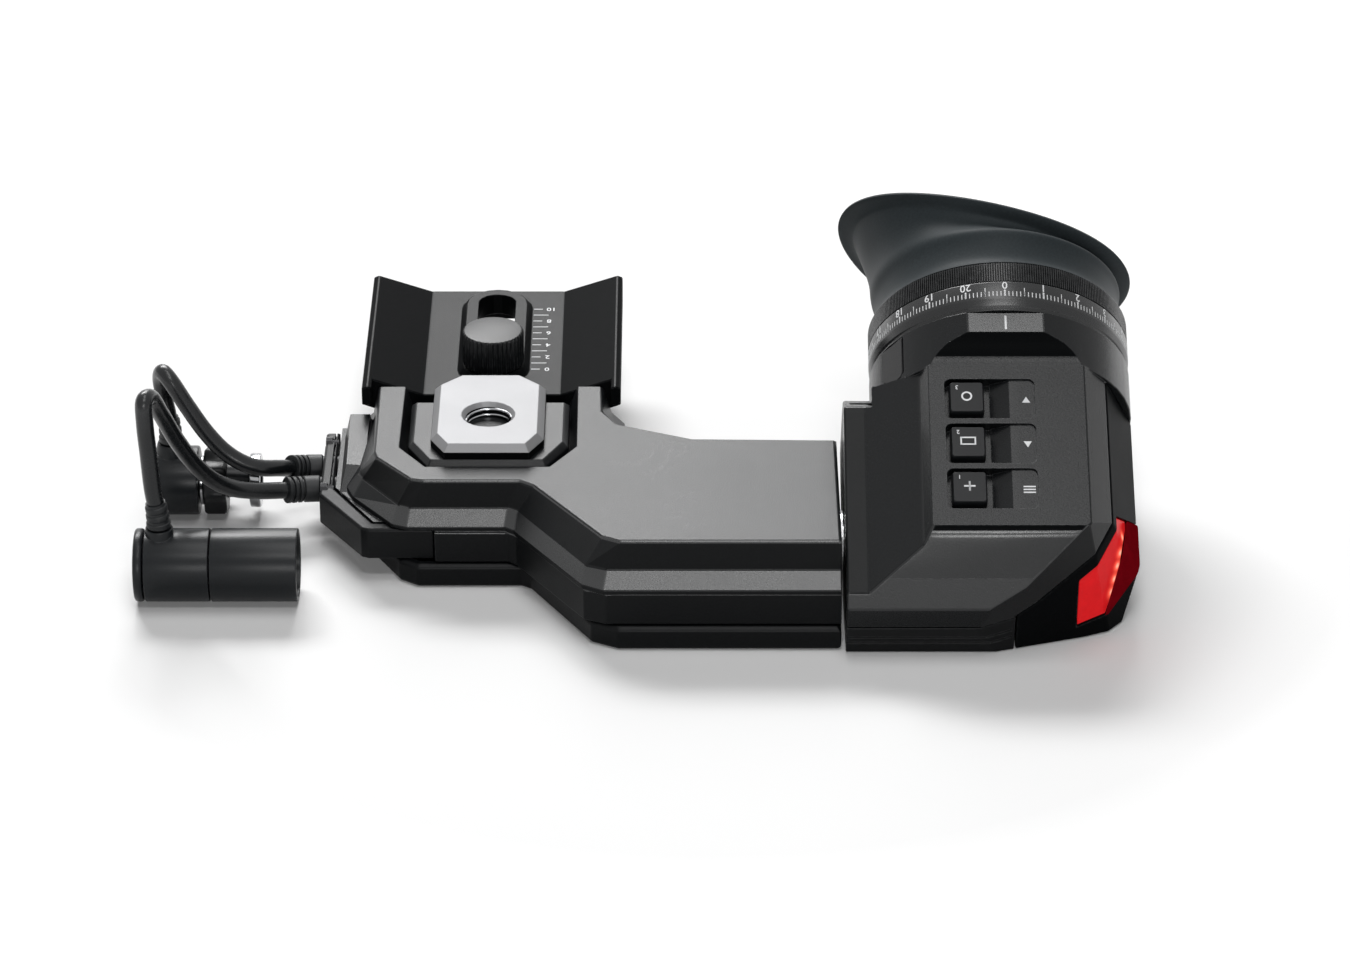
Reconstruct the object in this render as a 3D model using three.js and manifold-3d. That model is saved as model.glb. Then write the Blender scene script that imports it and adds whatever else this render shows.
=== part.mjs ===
// Electronic viewfinder on a mounting arm with two captive cables, in millimetres, +Z up.
// X runs along the arm, Y away from its front, and the tilt joint's end face is at X = 0.
import * as THREE from 'three';
import { mergeVertices } from 'three/addons/utils/BufferGeometryUtils.js';
import Module from 'manifold-3d';

const wasm = await Module();
wasm.setup();
const { Manifold } = wasm;

// General clearances
const clearance = 0.3;
const overrun = 1;
const seam = 0.15;
const edgeBevel = 0.6;
const rad = Math.PI / 180;

// Arm: reach, outline and levels
const armSpan = 135.6;
const armDepth = 91.2;
const armHeight = 28.3;
const coverHeight = 6.6;
const recessLevel = 15.5;
const lowerLedgeLevel = 16.8;
const upperLedgeLevel = 20.3;
const coverFootBevel = 0.8;
const coverTopBevel = 1.0;
const coverWall = 2.6;
const coverFloor = 2.2;
const mainCavityTop = 24.4;
const sideCavityTop = 14.4;
const pocketFloorLevel = 19;
const armTopShares = [
  [0.0000, 0.0680], [0.0000, 0.6667], [-0.2788, 0.6743], [-0.4226, 0.7632], [-0.4513, 0.8399],
  [-0.4535, 1.0000], [-0.8968, 1.0000], [-0.8938, 0.5932], [-0.8872, 0.5581], [-0.8156, 0.4254],
  [-0.7935, 0.4178], [-0.6077, 0.4178], [-0.5819, 0.3904], [-0.4491, 0.0943], [-0.4152, 0.0680],
];
const armUpperLedgeShares = [
  [0.0000, 0.0592], [0.0000, 0.6743], [-0.2765, 0.6831], [-0.4137, 0.7741], [-0.4344, 0.8465],
  [-0.4366, 1.0000], [-0.9071, 1.0000], [-0.9248, 0.6239], [-0.9152, 0.5877], [-0.8422, 0.4320],
  [-0.8193, 0.4156], [-0.6313, 0.4156], [-0.6128, 0.3969], [-0.4801, 0.0833], [-0.4410, 0.0592],
];
const armLowerLedgeShares = [
  [0.0000, 0.0110], [0.0000, 0.6798], [-0.2736, 0.6897], [-0.3975, 0.7851], [-0.4093, 0.8575],
  [-0.4108, 1.0000], [-0.9373, 1.0000], [-0.9469, 0.6118], [-0.9329, 0.5515], [-0.8518, 0.3882],
  [-0.8252, 0.3717], [-0.6372, 0.3717], [-0.6187, 0.3509], [-0.4867, 0.0439], [-0.4476, 0.0110],
];
const armFootShares = [
  [0.0000, 0.0099], [0.0000, 0.6820], [-0.2721, 0.6919], [-0.3945, 0.7884], [-0.4056, 0.8596],
  [-0.4071, 1.0000], [-0.9698, 1.0000], [-0.9698, 0.6338], [-0.9462, 0.5746], [-0.8886, 0.3618],
  [-0.8260, 0.3618], [-0.6320, 0.3618], [-0.6143, 0.3421], [-0.4830, 0.0373], [-0.4410, 0.0099],
];
const coverTopShares = [
  [0.0000, -0.0022], [0.0000, 0.6908], [-0.2706, 0.7018], [-0.3886, 0.7961], [-0.3997, 0.8618],
  [-0.4012, 1.0000], [-0.9240, 1.0000], [-0.9211, 0.6118], [-0.9004, 0.5461], [-0.8400, 0.3860],
  [-0.8046, 0.3509], [-0.6069, 0.3509], [-0.5878, 0.3311], [-0.4698, 0.0351], [-0.4196, -0.0022],
];
const pocketTopShares = [
  [-0.5029, 1.0154], [-0.5015, 0.6283], [-0.5531, 0.5044], [-0.7906, 0.5044], [-0.8437, 0.6217],
  [-0.8422, 1.0154],
];
const pocketFloorShares = [
  [-0.5302, 1.0154], [-0.5302, 0.6162], [-0.5642, 0.5110], [-0.7795, 0.5110], [-0.8223, 0.6162],
  [-0.8223, 1.0154],
];
const mainCavityShares = [
  [-0.0273, 0.0877], [-0.0273, 0.6316], [-0.2810, 0.6404], [-0.4004, 0.7018], [-0.4004, 0.5044],
  [-0.4226, 0.1206], [-0.3960, 0.0877],
];
const sideCavityShares = [
  [-0.3119, 0.4386], [-0.3119, 0.6425], [-0.4196, 0.7456], [-0.4344, 0.8114], [-0.4344, 0.9430],
  [-0.8901, 0.9430], [-0.8901, 0.6360], [-0.8134, 0.4715], [-0.7883, 0.4276], [-0.5922, 0.4276],
  [-0.4594, 0.1316], [-0.3119, 0.1316],
];
const bandOuterShares = [
  [-1.0000, 0.9693], [-1.0000, 0.5943], [-0.9122, 0.3925], [-0.8990, 0.3838], [-0.7736, 0.3838],
  [-0.7736, 0.4232], [-0.8901, 0.4254], [-0.9727, 0.6316], [-0.9727, 0.9693],
];
const wedgeTopShares = [
  [-0.9506, 0.9430], [-0.9122, 0.9430], [-0.9137, 0.6623], [-0.9491, 0.6711],
];

// Left end of the arm
const bandTop = 15.6;
const bandTopBevel = 0.6;
const bandWallShare = 0.0273;
const bandWall = armSpan * bandWallShare;
const endPlateThickness = 2.5;
const endPlateGroove = 0.4;
const endPlateGrooveDepth = 1.2;
const endFaceShare = 0.7774;
const endFaceMiddle = armDepth * endFaceShare;
const endScrewSpread = 12.7;
const endScrewDepth = 2;
const wedgeFrontLevel = 20.6;
const wedgeRearLevel = 22.6;
const wedgeFoot = 14.9;
const wedgeSpread = 3.4;

// Mount block with its threaded hole, and the pocket's centre line
const mountShare = 0.6733;
const blockWidthShare = 0.2183;
const blockDepthShare = 0.4605;
const blockCentreShare = 0.7555;
const mountFromJoint = armSpan * mountShare;
const blockWidth = armSpan * blockWidthShare;
const blockDepth = armDepth * blockDepthShare;
const blockCentreY = armDepth * blockCentreShare;
const blockTop = 33;
const blockBevel = 1.8;
const mountHoleShift = 2.9;
const mountHoleY = blockCentreY - mountHoleShift;
const mountHoleRadius = 6;
const mountHoleChamfer = 1.1;
const blockOutlineShares = [
  [0.5, -0.33], [0.5, 0.345], [0.278, 0.5], [-0.278, 0.5], [-0.5, 0.345], [-0.5, -0.33],
  [-0.375, -0.5], [0.375, -0.5],
];

// Rear bracket, a shallow trough with a slotted boss
const bracketReach = 62.1;
const bracketRear = armDepth + bracketReach;
const bracketHalfShare = 0.2544;
const bracketHalfWidth = armSpan * bracketHalfShare;
const bracketRimWidth = 1.4;
const bracketFlatHalfWidth = 18.2;
const bracketFlatLevel = 25.4;
const bracketRimLevel = 30.4;
const bracketSideLow = 22.2;
const bracketUnderLevel = 17.6;
const bracketUnderHalfWidth = 22;
const earReach = 5;
const earThickness = 2.6;
const earLow = 24.8;
const bossRadius = 8.3;
const bossFootRadius = 9.6;
const bossHeight = 2;
const slotRadius = 5.1;
const slotFromArm = 15;
const slotFrontY = armDepth + slotFromArm;
const slotTravel = 35.9;
const channelHalfWidth = 7.9;
const channelHeight = 3.8;
const channelMargin = 9.4;

// Clamp carriage and thumb screw
const carriageHalfWidth = 7.4;
const carriageHalfLength = 7;
const carriagePlate = 3;
const thumbRadius = 8.3;
const thumbHeight = 9.6;
const thumbKnurlDepth = 0.45;
const thumbKnurlCount = 28;
const thumbShankRadius = 3;
const thumbShankDrop = 6;
const thumbBevel = 0.5;

// Tilt joint: hollow shaft, bush, washers and nut
const pivotDepth = 30;
const pivotHeight = 14;
const jointGap = 1.1;
const shaftRadius = 5.4;
const shaftBore = 2.8;
const shaftFlangeRadius = 9;
const shaftFlangeThickness = 0.5;
const bushRadius = 6.5;
const bushFlangeRadius = 10;
const bushFlangeThickness = 1.4;
const armEndWall = 3.7;
const frictionThickness = 0.9;
const frictionRadius = 9.5;
const springThickness = 0.7;
const springRise = 0.9;
const nutRadius = 9.2;
const nutThickness = 4.4;
const shaftTail = 1.2;
const shaftHeadHub = 3;
const shaftHubRadius = 8.2;

// Screws
const screwHeadRadius = 1.9;
const screwHeadHeight = 1.3;
const screwShankRadius = 1.1;
const screwShankLength = 4.6;
const screwSlotWidth = 0.6;
const screwPostRadius = 3.4;
const screwPostHeight = 3.6;
const coverScrewShares = [
  [-0.05, 0.10], [-0.05, 0.60], [-0.46, 0.09], [-0.80, 0.90],
];

// Cables, reliefs and their two connectors
const cableRadius = 2.25;
const cableBoreGap = 0.35;
const reliefRadius = 3.5;
const reliefLength = 9.4;
const reliefNeckRadius = 3.1;
const reliefNeck = 2.4;
const reliefRibs = 3;
const reliefRibDepth = 0.75;
const reliefRibPitch = 1.6;
const ribGrooveShare = 0.3;
const ribRiseShare = 0.35;
const ribEndShare = 0.95;
const cableLevel = 11.8;
const rearCableShift = 4.7;
const frontCableShift = 6.7;
const rearCableY = endFaceMiddle + rearCableShift;
const frontCableY = endFaceMiddle - frontCableShift;

const xlrRadius = 9.5;
const xlrFromEnd = 46;
const xlrShift = 43.7;
const xlrY = endFaceMiddle - xlrShift;
const xlrCapLength = 2.4;
const xlrBodyLength = 19.4;
const xlrSleeveLength = 22.4;
const xlrSleeveWall = 1.1;
const xlrMouthDepth = 13;
const xlrGroove = 0.5;
const xlrPinRadius = 1.1;
const xlrPinLength = 9.6;
const xlrPinCircle = 4.1;
const xlrPinCount = 4;
const xlrBossX = 6.6;
const xlrBossRadius = 3.9;
const xlrBossTopRadius = 3.5;
const xlrBossRise = 1.6;
const plugReliefRise = 7;
const plugReliefFootRadius = 3.3;
const plugReliefTopRadius = 2.9;
const plugReliefRibDepth = 0.3;

const bncFromEnd = 44.4;
const bncShift = 2.2;
const bncY = endFaceMiddle + bncShift;
const bncHousingRadius = 9.2;
const bncHousingLength = 11.4;
const bncBossRadius = 4.6;
const bncBossX = 4.2;
const bncBossRise = 2.4;
const bncCollarRadius = 6.6;
const bncCollarLength = 1.2;
const bncGripRadius = 9.4;
const bncGripLobe = 1.2;
const bncGripLobes = 8;
const bncGripLength = 6;
const bncTubeRadius = 4.6;
const bncTubeLength = 9.2;
const bncRingRadius = 7.2;
const bncRingLength = 2.9;
const bncSocketDepth = 6;
const bncPinRadius = 0.7;
const bncPinLength = 3.6;
const bncTubeWall = 0.8;

// Viewfinder head, in its own frame: Y along the optical axis, origin where the focus ring starts
const tiltDeg = 30;
const headWall = 2.2;
const headWallAtBelly = headWall + clearance;
const axisFromJoint = 42.5;
const axisDepth = 68.4;
const axisHeight = 42.1;
const tiltSin = Math.sin(tiltDeg * rad);
const tiltCos = Math.cos(tiltDeg * rad);
const pivotRise = pivotHeight - axisHeight;
const pivotBack = axisDepth - pivotDepth;
const ringRadius = 34;
const plateLevel = 28;
const plateHalfWidth = 20;
const rimFront = 81.2;
const plateFromRim = 20;
const slopeFromRim = 3.8;
const bandFromRim = 1.3;
const plateFront = rimFront - plateFromRim;
const coveLevel = 24.4;
const coveHalfWidth = 22.2;
const neckLevel = 16;
const neckShoulder = 35.8;
const rightFacetLevel = 20.5;
const rightFacetX = 26.1;
const slopeFoot = rimFront - slopeFromRim;
const slopeFootLevel = 13;
const bandFoot = rimFront - bandFromRim;
const splitLevel = 8;
const headFoot = 0.05;
const rimLevel = (headFoot - axisHeight + rimFront * tiltSin) / tiltCos;
const bellyLevel = pivotRise * tiltCos + pivotBack * tiltSin - shaftHubRadius - headWallAtBelly;
const bellyFront = (axisHeight - headFoot + bellyLevel * tiltCos) / tiltSin;
const headRear = 13.5;
const collarFront = 14;
const collarConeFront = 24;
const collarConeRadius = 20;
const facetLevel = 32.6;
const facetLength = 6.4;
const neckChamfer = 5.2;
const pocketDepth = 3.4;
const ceilingWall = 1.4;
const rimGrooveDepth = 0.5;
const rimGrooveWidth = 0.6;
const rimGroovePitch = 2.2;
const rimGrooveStart = 4.2;

// Corner faces of the head's front right, each by a point and the way it faces
const blackFacePointShares = [-0.0185, -0.952, 0.464];
const blackFaceShares = [0.40, -0.85, 0.35];
const lowFacePointShares = [0.046, -0.973, -0.071];
const lowFaceShares = [0.30, -0.905, 0.27];
const cornerFacePointShares = [0.306, -0.882, -0.071];
const cornerFaceShares = [0.81, -0.55, 0.33];
const sideFacePointShares = [0.4126, -0.7266, -0.071];
const sideFaceShares = [0.975, -0.2, 0.1];

// Side cover and tally light
const seamRise = 0.487;
const sideCoverInner = 22.5;
const sideCoverCorner = 54;
const sideCoverFrontX = 1.6;
const sideCoverFrontY = 74;
const tallyDrop = 4.4;
const tallyFootLevel = -1.2;
const tallyFrontX = 17.6;
const tallyRear = 44.6;
const tallyThickness = 2;
const tallyBulge = 0.5;
const tallyWindowInset = 0.5;
const tallySplitShares = [
  [0.374, -0.45], [0.374, -0.628], [0.355, -0.733], [0.318, -0.837], [0.290, -0.92],
];
const tallyRearLean = 0.46;
const tallyBoardShares = [0.299, -0.742, 0.071];
const tallyBoardTurn = -34;
const tallyBoardLength = 17;
const tallyBoardLow = 4;
const tallyBoardHigh = 5.5;
const ledCount = 5;
const ledRadius = 0.8;

// Buttons
const keyPitch = 13.4;
const firstKeyY = 50.5;
const keyCount = 3;
const padWidth = 23;
const padDepth = 11.8;
const padCentreX = -4.5;
const padCorner = 1.7;
const rampFoot = 0.6;
const rampFootRise = 0.7;
const rampTopDrop = 0.4;
const keyWidth = 8.9;
const keyDepth = 9.3;
const keyX = -10.4;
const keyLift = 1.1;
const keyRise = 0.8;
const keyBevel = 0.8;
const keyStemRadius = 1.5;
const keyStemGap = 0.4;
const keyStemLength = 3.1;
const boardThickness = 1.5;
const domeRadius = 1.8;
const domeHeight = 0.9;
const domeGap = 1.2;

// Focus ring, lens stack and eyecup
const dialLength = 8.1;
const ringLength = 14.3;
const ringBevel = 1.6;
const ringBevelDepth = 0.9;
const knurlDepth = 0.5;
const knurlOverlap = 0.1;
const knurlCount = 78;
const knurlGroove = 0.5;
const sleeveRadius = 30;
const sleeveBore = 27.4;
const sleeveFront = 8.6;
const sleeveRear = 20;
const cellRadius = 26.9;
const cellBore = 21.2;
const cellFront = 5;
const cellRear = 17.4;
const cellLip = 1.6;
const throatRadius = 24;
const lensRadius = 20.8;
const eyeLensThickness = 3.4;
const eyeLensBulge = 2.4;
const midLensThickness = 4;
const midLensBulge = 1.4;
const fieldLensThickness = 2.6;
const fieldLensBulge = 0.8;
const lensSpace = 0.5;
const retainerLength = 2.4;
const retainerBore = 18.6;
const eyeRingRadius = 31.2;
const eyeRingRear = 20.4;
const displayY = 42;
const displayWidth = 26;
const displayHeight = 19;
const displayThickness = 1.6;
const displayFrameThickness = 3;
const displayFrameMargin = 4;
const displayLip = 1.2;
const mainBoardFront = 66;
const mainBoardRear = 20;
const mainBoardLeft = 35.4;
const mainBoardRight = 19.6;
const mainBoardLevel = 7;
const boardPostX = 22.6;
const boardPostRadius = 2;
const boardPostMargin = 4;
const chipSize = 9;
const chipHeight = 1.4;
const sensorWindowAngle = 148;
const sensorWindowWidth = 9;
const sensorWindowLength = 11.6;
const sensorWindowThickness = 1;
const sensorWindowRear = 1.2;

// Eyecup stations as shares of its size, first up the outside, then down the inside
const cupRadius = 33.2;
const cupBase = 14.7;
const cupReach = 33.5;
const cupLobeX = -2.8;
// Each row: half width, half height, sideways shift, height, tilt, dip
const cupOuterShares = [
  [1.000, 1.000, 0.0, 0.000, 0.00, 0.00],
  [0.970, 0.970, 0.0, 0.045, 0.00, 0.00],
  [0.958, 0.958, 0.0, 0.130, 0.00, 0.00],
  [0.965, 0.962, 0.0, 0.240, 0.00, 0.00],
  [0.990, 0.978, 0.0, 0.300, 0.01, 0.00],
  [0.992, 0.965, 0.1, 0.340, 0.03, 0.00],
  [0.975, 0.925, 0.3, 0.390, 0.07, 0.02],
  [0.965, 0.870, 0.7, 0.470, 0.13, 0.06],
  [0.985, 0.835, 1.1, 0.560, 0.20, 0.10],
  [1.045, 0.845, 1.1, 0.640, 0.255, 0.125],
  [1.110, 0.885, 1.0, 0.685, 0.28, 0.125],
  [1.160, 0.930, 1.0, 0.708, 0.285, 0.120],
];
const cupInnerShares = [
  [1.150, 0.922, 1.0, 0.735, 0.285, 0.120],
  [1.090, 0.865, 1.0, 0.722, 0.28, 0.122],
  [1.020, 0.805, 1.1, 0.675, 0.255, 0.125],
  [0.935, 0.775, 1.0, 0.590, 0.20, 0.10],
  [0.895, 0.800, 0.7, 0.480, 0.12, 0.05],
  [0.880, 0.830, 0.3, 0.380, 0.05, 0.01],
  [0.860, 0.860, 0.0, 0.290, 0.00, 0.00],
  [0.790, 0.790, 0.0, 0.262, 0.00, 0.00],
  [0.740, 0.740, 0.0, 0.225, 0.00, 0.00],
  [0.740, 0.740, 0.0, 0.195, 0.00, 0.00],
  [0.950, 0.950, 0.0, 0.195, 0.00, 0.00],
  [0.950, 0.950, 0.0, 0.000, 0.00, 0.00],
];
const cupSides = 35;

// Counts for round parts
const roundSides = 22;
const ringSides = 42;
const smallSides = 10;
const cableSides = 8;
const boreSteps = 4;
const cableSteps = 34;
const boreSides = 12;
const stemSides = 16;
const collarSides = 36;
const lobeSteps = 6;
const knurlSteps = 3;
const cornerSteps = 4;
const scoopSteps = 8;
const lensSteps = 4;
const searchSteps = 30;
const nutFlats = 6;

// Cable routes, chosen by hand, from the middle of the arm's end face at the foot
const frontRoute = [
  [23.6, -6.7, 11.8], [5.6, -6.7, 11.8], [-3.8, -7.3, 11.9], [-9.7, -9.5, 12.7],
  [-16.6, -13.3, 14.6], [-22.1, -16.5, 17], [-26.7, -19.7, 20.9], [-31.1, -23.1, 27.3],
  [-35.3, -27.5, 37], [-38.6, -33, 48], [-40.5, -38.9, 55.8], [-41.6, -42.3, 56.4],
  [-41.6, -43.6, 50.6], [-41.1, -43.7, 41.8], [-40.5, -43.7, 31.7], [-39.6, -43.7, 24.6],
  [-39.4, -43.7, 19], [-39.4, -43.7, 13],
];
const rearRoute = [
  [23.6, 4.7, 11.8], [5.6, 4.7, 11.8], [-2.8, 4.5, 11.9], [-7.8, 2, 13.1], [-12, -2.1, 15.3],
  [-16, -4.7, 16.8], [-20.3, -5.3, 18.4], [-25.2, -4.9, 21.6], [-30.1, -4.3, 27.2],
  [-34.9, -3.6, 34.8], [-39, -2.7, 41.7], [-41.1, -0.3, 42.9], [-42, 2.3, 39.6],
  [-41.6, 3.1, 34.6], [-40.6, 2.4, 29], [-40.2, 2.2, 24], [-40.2, 2.2, 13.5],
];

// Solid helpers
function indexWithoutSlivers(index) {
  const kept = [];
  for (let i = 0; i < index.length; i += 3) {
    const [a, b, c] = [index[i], index[i + 1], index[i + 2]];
    if (a !== b && b !== c && a !== c) kept.push(a, b, c);
  }
  return kept;
}

function signedVolume(position, index) {
  const [a, b, c] = [new THREE.Vector3(), new THREE.Vector3(), new THREE.Vector3()];
  let sum = 0;
  for (let i = 0; i < index.length; i += 3) {
    a.fromBufferAttribute(position, index[i]);
    b.fromBufferAttribute(position, index[i + 1]);
    c.fromBufferAttribute(position, index[i + 2]);
    sum += a.dot(b.cross(c));
  }
  return sum;
}

function toSolid(geometry) {
  const plain = geometry.clone();
  plain.deleteAttribute('normal');
  plain.deleteAttribute('uv');
  const merged = mergeVertices(plain);
  const index = indexWithoutSlivers(merged.index.array);
  if (signedVolume(merged.attributes.position, index) < 0) index.reverse();
  return new Manifold(new wasm.Mesh({
    numProp: 3,
    vertProperties: new Float32Array(merged.attributes.position.array),
    triVerts: new Uint32Array(index),
  }));
}

function toGeometry(solid) {
  const mesh = solid.getMesh();
  const geometry = new THREE.BufferGeometry();
  geometry.setAttribute('position', new THREE.BufferAttribute(mesh.vertProperties, 3));
  geometry.setIndex(new THREE.BufferAttribute(mesh.triVerts, 1));
  geometry.computeVertexNormals();
  return geometry;
}

function extrusion(points, depth) {
  const shape = new THREE.Shape(points.map(([x, y]) => new THREE.Vector2(x, y)));
  return new THREE.ExtrudeGeometry(shape, { depth, bevelEnabled: false });
}

// Outline in X and Y, raised from low to high
function prismZ(points, low, high) {
  return toSolid(extrusion(points, high - low).translate(0, 0, low));
}

// Outline in Y and Z, swept along X
function prismX(points, from, to) {
  const turn = new THREE.Matrix4().makeBasis(
    new THREE.Vector3(0, 1, 0), new THREE.Vector3(0, 0, 1), new THREE.Vector3(1, 0, 0));
  return toSolid(extrusion(points, to - from).applyMatrix4(turn).translate(from, 0, 0));
}

// Outline in X and Z, swept along Y
function prismY(points, from, to) {
  const turn = new THREE.Matrix4().makeBasis(
    new THREE.Vector3(1, 0, 0), new THREE.Vector3(0, 0, 1), new THREE.Vector3(0, -1, 0));
  return toSolid(extrusion(points, to - from).applyMatrix4(turn).translate(0, to, 0));
}

function box(x0, x1, y0, y1, z0, z1) {
  return prismZ([[x0, y0], [x1, y0], [x1, y1], [x0, y1]], z0, z1);
}

// Profile of radius and place along the axis, turned about Y, X or Z
function turnedY(profile, sides = roundSides) {
  const points = profile.map(([r, h]) => new THREE.Vector2(r, h));
  return new THREE.LatheGeometry(points, sides);
}

function turnedX(profile, y, z, sides = roundSides) {
  return toSolid(turnedY(profile, sides).rotateZ(-Math.PI / 2).translate(0, y, z));
}

function turnedZ(profile, x, y, sides = roundSides) {
  return toSolid(turnedY(profile, sides).rotateX(Math.PI / 2).translate(x, y, 0));
}

function rod(radius, from, to) {
  return [[0, from], [radius, from], [radius, to], [0, to]];
}

function pipe(inner, outer, from, to) {
  return [[inner, from], [outer, from], [outer, to], [inner, to], [inner, from]];
}

function areaOf(points) {
  return points.reduce((sum, [x, y], i) => {
    const [nx, ny] = points[(i + 1) % points.length];
    return sum + x * ny - nx * y;
  }, 0) / 2;
}

// An outline drawn in by a distance, or out where the distance is negative
function inset(points, distance) {
  const way = Math.sign(areaOf(points));
  return points.map((point, i) => {
    const before = points[(i + points.length - 1) % points.length];
    const after = points[(i + 1) % points.length];
    const into = new THREE.Vector2(point[0] - before[0], point[1] - before[1]).normalize();
    const out = new THREE.Vector2(after[0] - point[0], after[1] - point[1]).normalize();
    const first = new THREE.Vector2(-into.y, into.x).multiplyScalar(way);
    const second = new THREE.Vector2(-out.y, out.x).multiplyScalar(way);
    const mitre = first.clone().add(second);
    const scale = 2 / Math.max(mitre.lengthSq(), 1);
    return [point[0] + mitre.x * scale * distance, point[1] + mitre.y * scale * distance];
  });
}

// A skin over rings of points, capped at its ends, or closed on itself
function skin(rings, closed = false) {
  const sides = rings[0].length;
  const positions = rings.flat().flatMap((p) => [p.x, p.y, p.z]);
  const index = [];
  const last = closed ? rings.length : rings.length - 1;
  for (let r = 0; r < last; r += 1) {
    const next = (r + 1) % rings.length;
    for (let s = 0; s < sides; s += 1) {
      const t = (s + 1) % sides;
      const [a, b] = [r * sides + s, r * sides + t];
      const [c, d] = [next * sides + s, next * sides + t];
      index.push(a, b, d, a, d, c);
    }
  }
  if (!closed) {
    [0, rings.length - 1].forEach((r) => {
      const flat = rings[r].map((p) => new THREE.Vector2(p.x, p.y));
      THREE.ShapeUtils.triangulateShape(flat, []).forEach(([a, b, c]) => {
        const face = [a, b, c].map((k) => r * sides + k);
        index.push(...(r === 0 ? face.reverse() : face));
      });
    });
  }
  const geometry = new THREE.BufferGeometry();
  geometry.setAttribute('position', new THREE.Float32BufferAttribute(positions, 3));
  geometry.setIndex(index);
  return toSolid(geometry);
}

// Outlines stacked at levels, each with the same number of points
function stack(levels) {
  const turned = levels.map(([points, z]) => {
    const ring = points.map(([x, y]) => new THREE.Vector3(x, y, z));
    return areaOf(points) < 0 ? ring.reverse() : ring;
  });
  return skin(turned);
}

function obround(radius, x, front, rear, steps = smallSides) {
  const points = [];
  for (let i = 0; i <= steps; i += 1) {
    const turn = Math.PI * i / steps;
    points.push([x + radius * Math.cos(turn), rear + radius * Math.sin(turn)]);
  }
  for (let i = 0; i <= steps; i += 1) {
    const turn = Math.PI * (1 + i / steps);
    points.push([x + radius * Math.cos(turn), front + radius * Math.sin(turn)]);
  }
  return points;
}

function roundedBox(x, y, width, depth, corner, steps = cornerSteps) {
  const points = [];
  [[1, -1, -0.5], [1, 1, 0], [-1, 1, 0.5], [-1, -1, 1]].forEach(([sx, sy, turn]) => {
    for (let i = 0; i <= steps; i += 1) {
      const angle = Math.PI * (turn + i / steps / 2);
      points.push([
        x + sx * (width / 2 - corner) + corner * Math.cos(angle),
        y + sy * (depth / 2 - corner) + corner * Math.sin(angle),
      ]);
    }
  });
  return points;
}

// An outline whose radius rises and falls count times round
function lobed(outer, depth, count, steps, x = 0, y = 0) {
  const points = [];
  for (let i = 0; i < count * steps; i += 1) {
    const turn = 2 * Math.PI * i / (count * steps);
    const radius = outer - depth * (0.5 - 0.5 * Math.cos(2 * Math.PI * i / steps));
    points.push([x + radius * Math.cos(turn), y + radius * Math.sin(turn)]);
  }
  return points;
}

// Frame groups and materials
const viewfinder = new THREE.Group();
const armGroup = new THREE.Group();
const headGroup = new THREE.Group();
viewfinder.add(armGroup, headGroup);
headGroup.rotation.x = tiltDeg * rad;
headGroup.position.set(axisFromJoint, axisDepth, axisHeight);

function paint(colour, roughness, metalness = 0) {
  return new THREE.MeshStandardMaterial({ color: colour, roughness, metalness });
}

function add(name, solid, material, group = armGroup) {
  const mesh = new THREE.Mesh(toGeometry(solid), material);
  mesh.name = name;
  group.add(mesh);
  return mesh;
}

const charcoal = '#2b2e30';
const darkCoat = '#232527';
const rubberGrey = '#2a2d2f';
const steel = '#b9bcbf';
const silver = '#c9cacd';
const brass = '#b08d4a';
const boardGreen = '#1d4a33';

const clampX = -mountFromJoint;

function armPoints(shares) {
  return shares.map(([x, y]) => [x * armSpan, y * armDepth]);
}

// Arm
function roundEdge(points, low, high, bevel) {
  return [[points, low], [points, high - bevel], [inset(points, bevel), high]];
}

function shaftCut(radius, from, to) {
  return turnedX(rod(radius, from, to), pivotDepth, pivotHeight);
}

function bandOutline() {
  return armPoints(bandOuterShares);
}

function bandRoom() {
  const outline = bandOutline();
  const right = outline[4][0] + clearance;
  const inner = inset(outline, -clearance);
  const far = -armSpan - bandTop;
  const points = [
    [right, 0], [right, inner[5][1]], inner[6], inner[7],
    [inner[8][0], armDepth + bandTop], [far, armDepth + bandTop], [far, 0],
  ];
  return prismZ(points, -overrun, bandTop + clearance);
}

function wedge() {
  const top = armPoints(wedgeTopShares);
  const levels = [wedgeRearLevel, wedgeRearLevel, wedgeFrontLevel, wedgeFrontLevel];
  const centreX = (top[0][0] + top[1][0]) / 2;
  const spread = ([x, y]) => [
    x + Math.sign(x - centreX) * wedgeSpread / 2,
    y < top[0][1] - wedgeSpread ? y - 2 * wedgeSpread : y,
  ];
  const upper = top.map(([x, y], i) => new THREE.Vector3(x, y, levels[i]));
  const lower = top.map((point) => new THREE.Vector3(...spread(point), wedgeFoot));
  return skin([lower.reverse(), upper.reverse()]);
}

function screwPost(x, y, low, high) {
  return turnedZ(rod(screwPostRadius, low, high), x, y, smallSides);
}

function mainCavity() {
  return armPoints(mainCavityShares).map(([x, y], i) => [i < 2 ? -armEndWall : x, y]);
}

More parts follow.
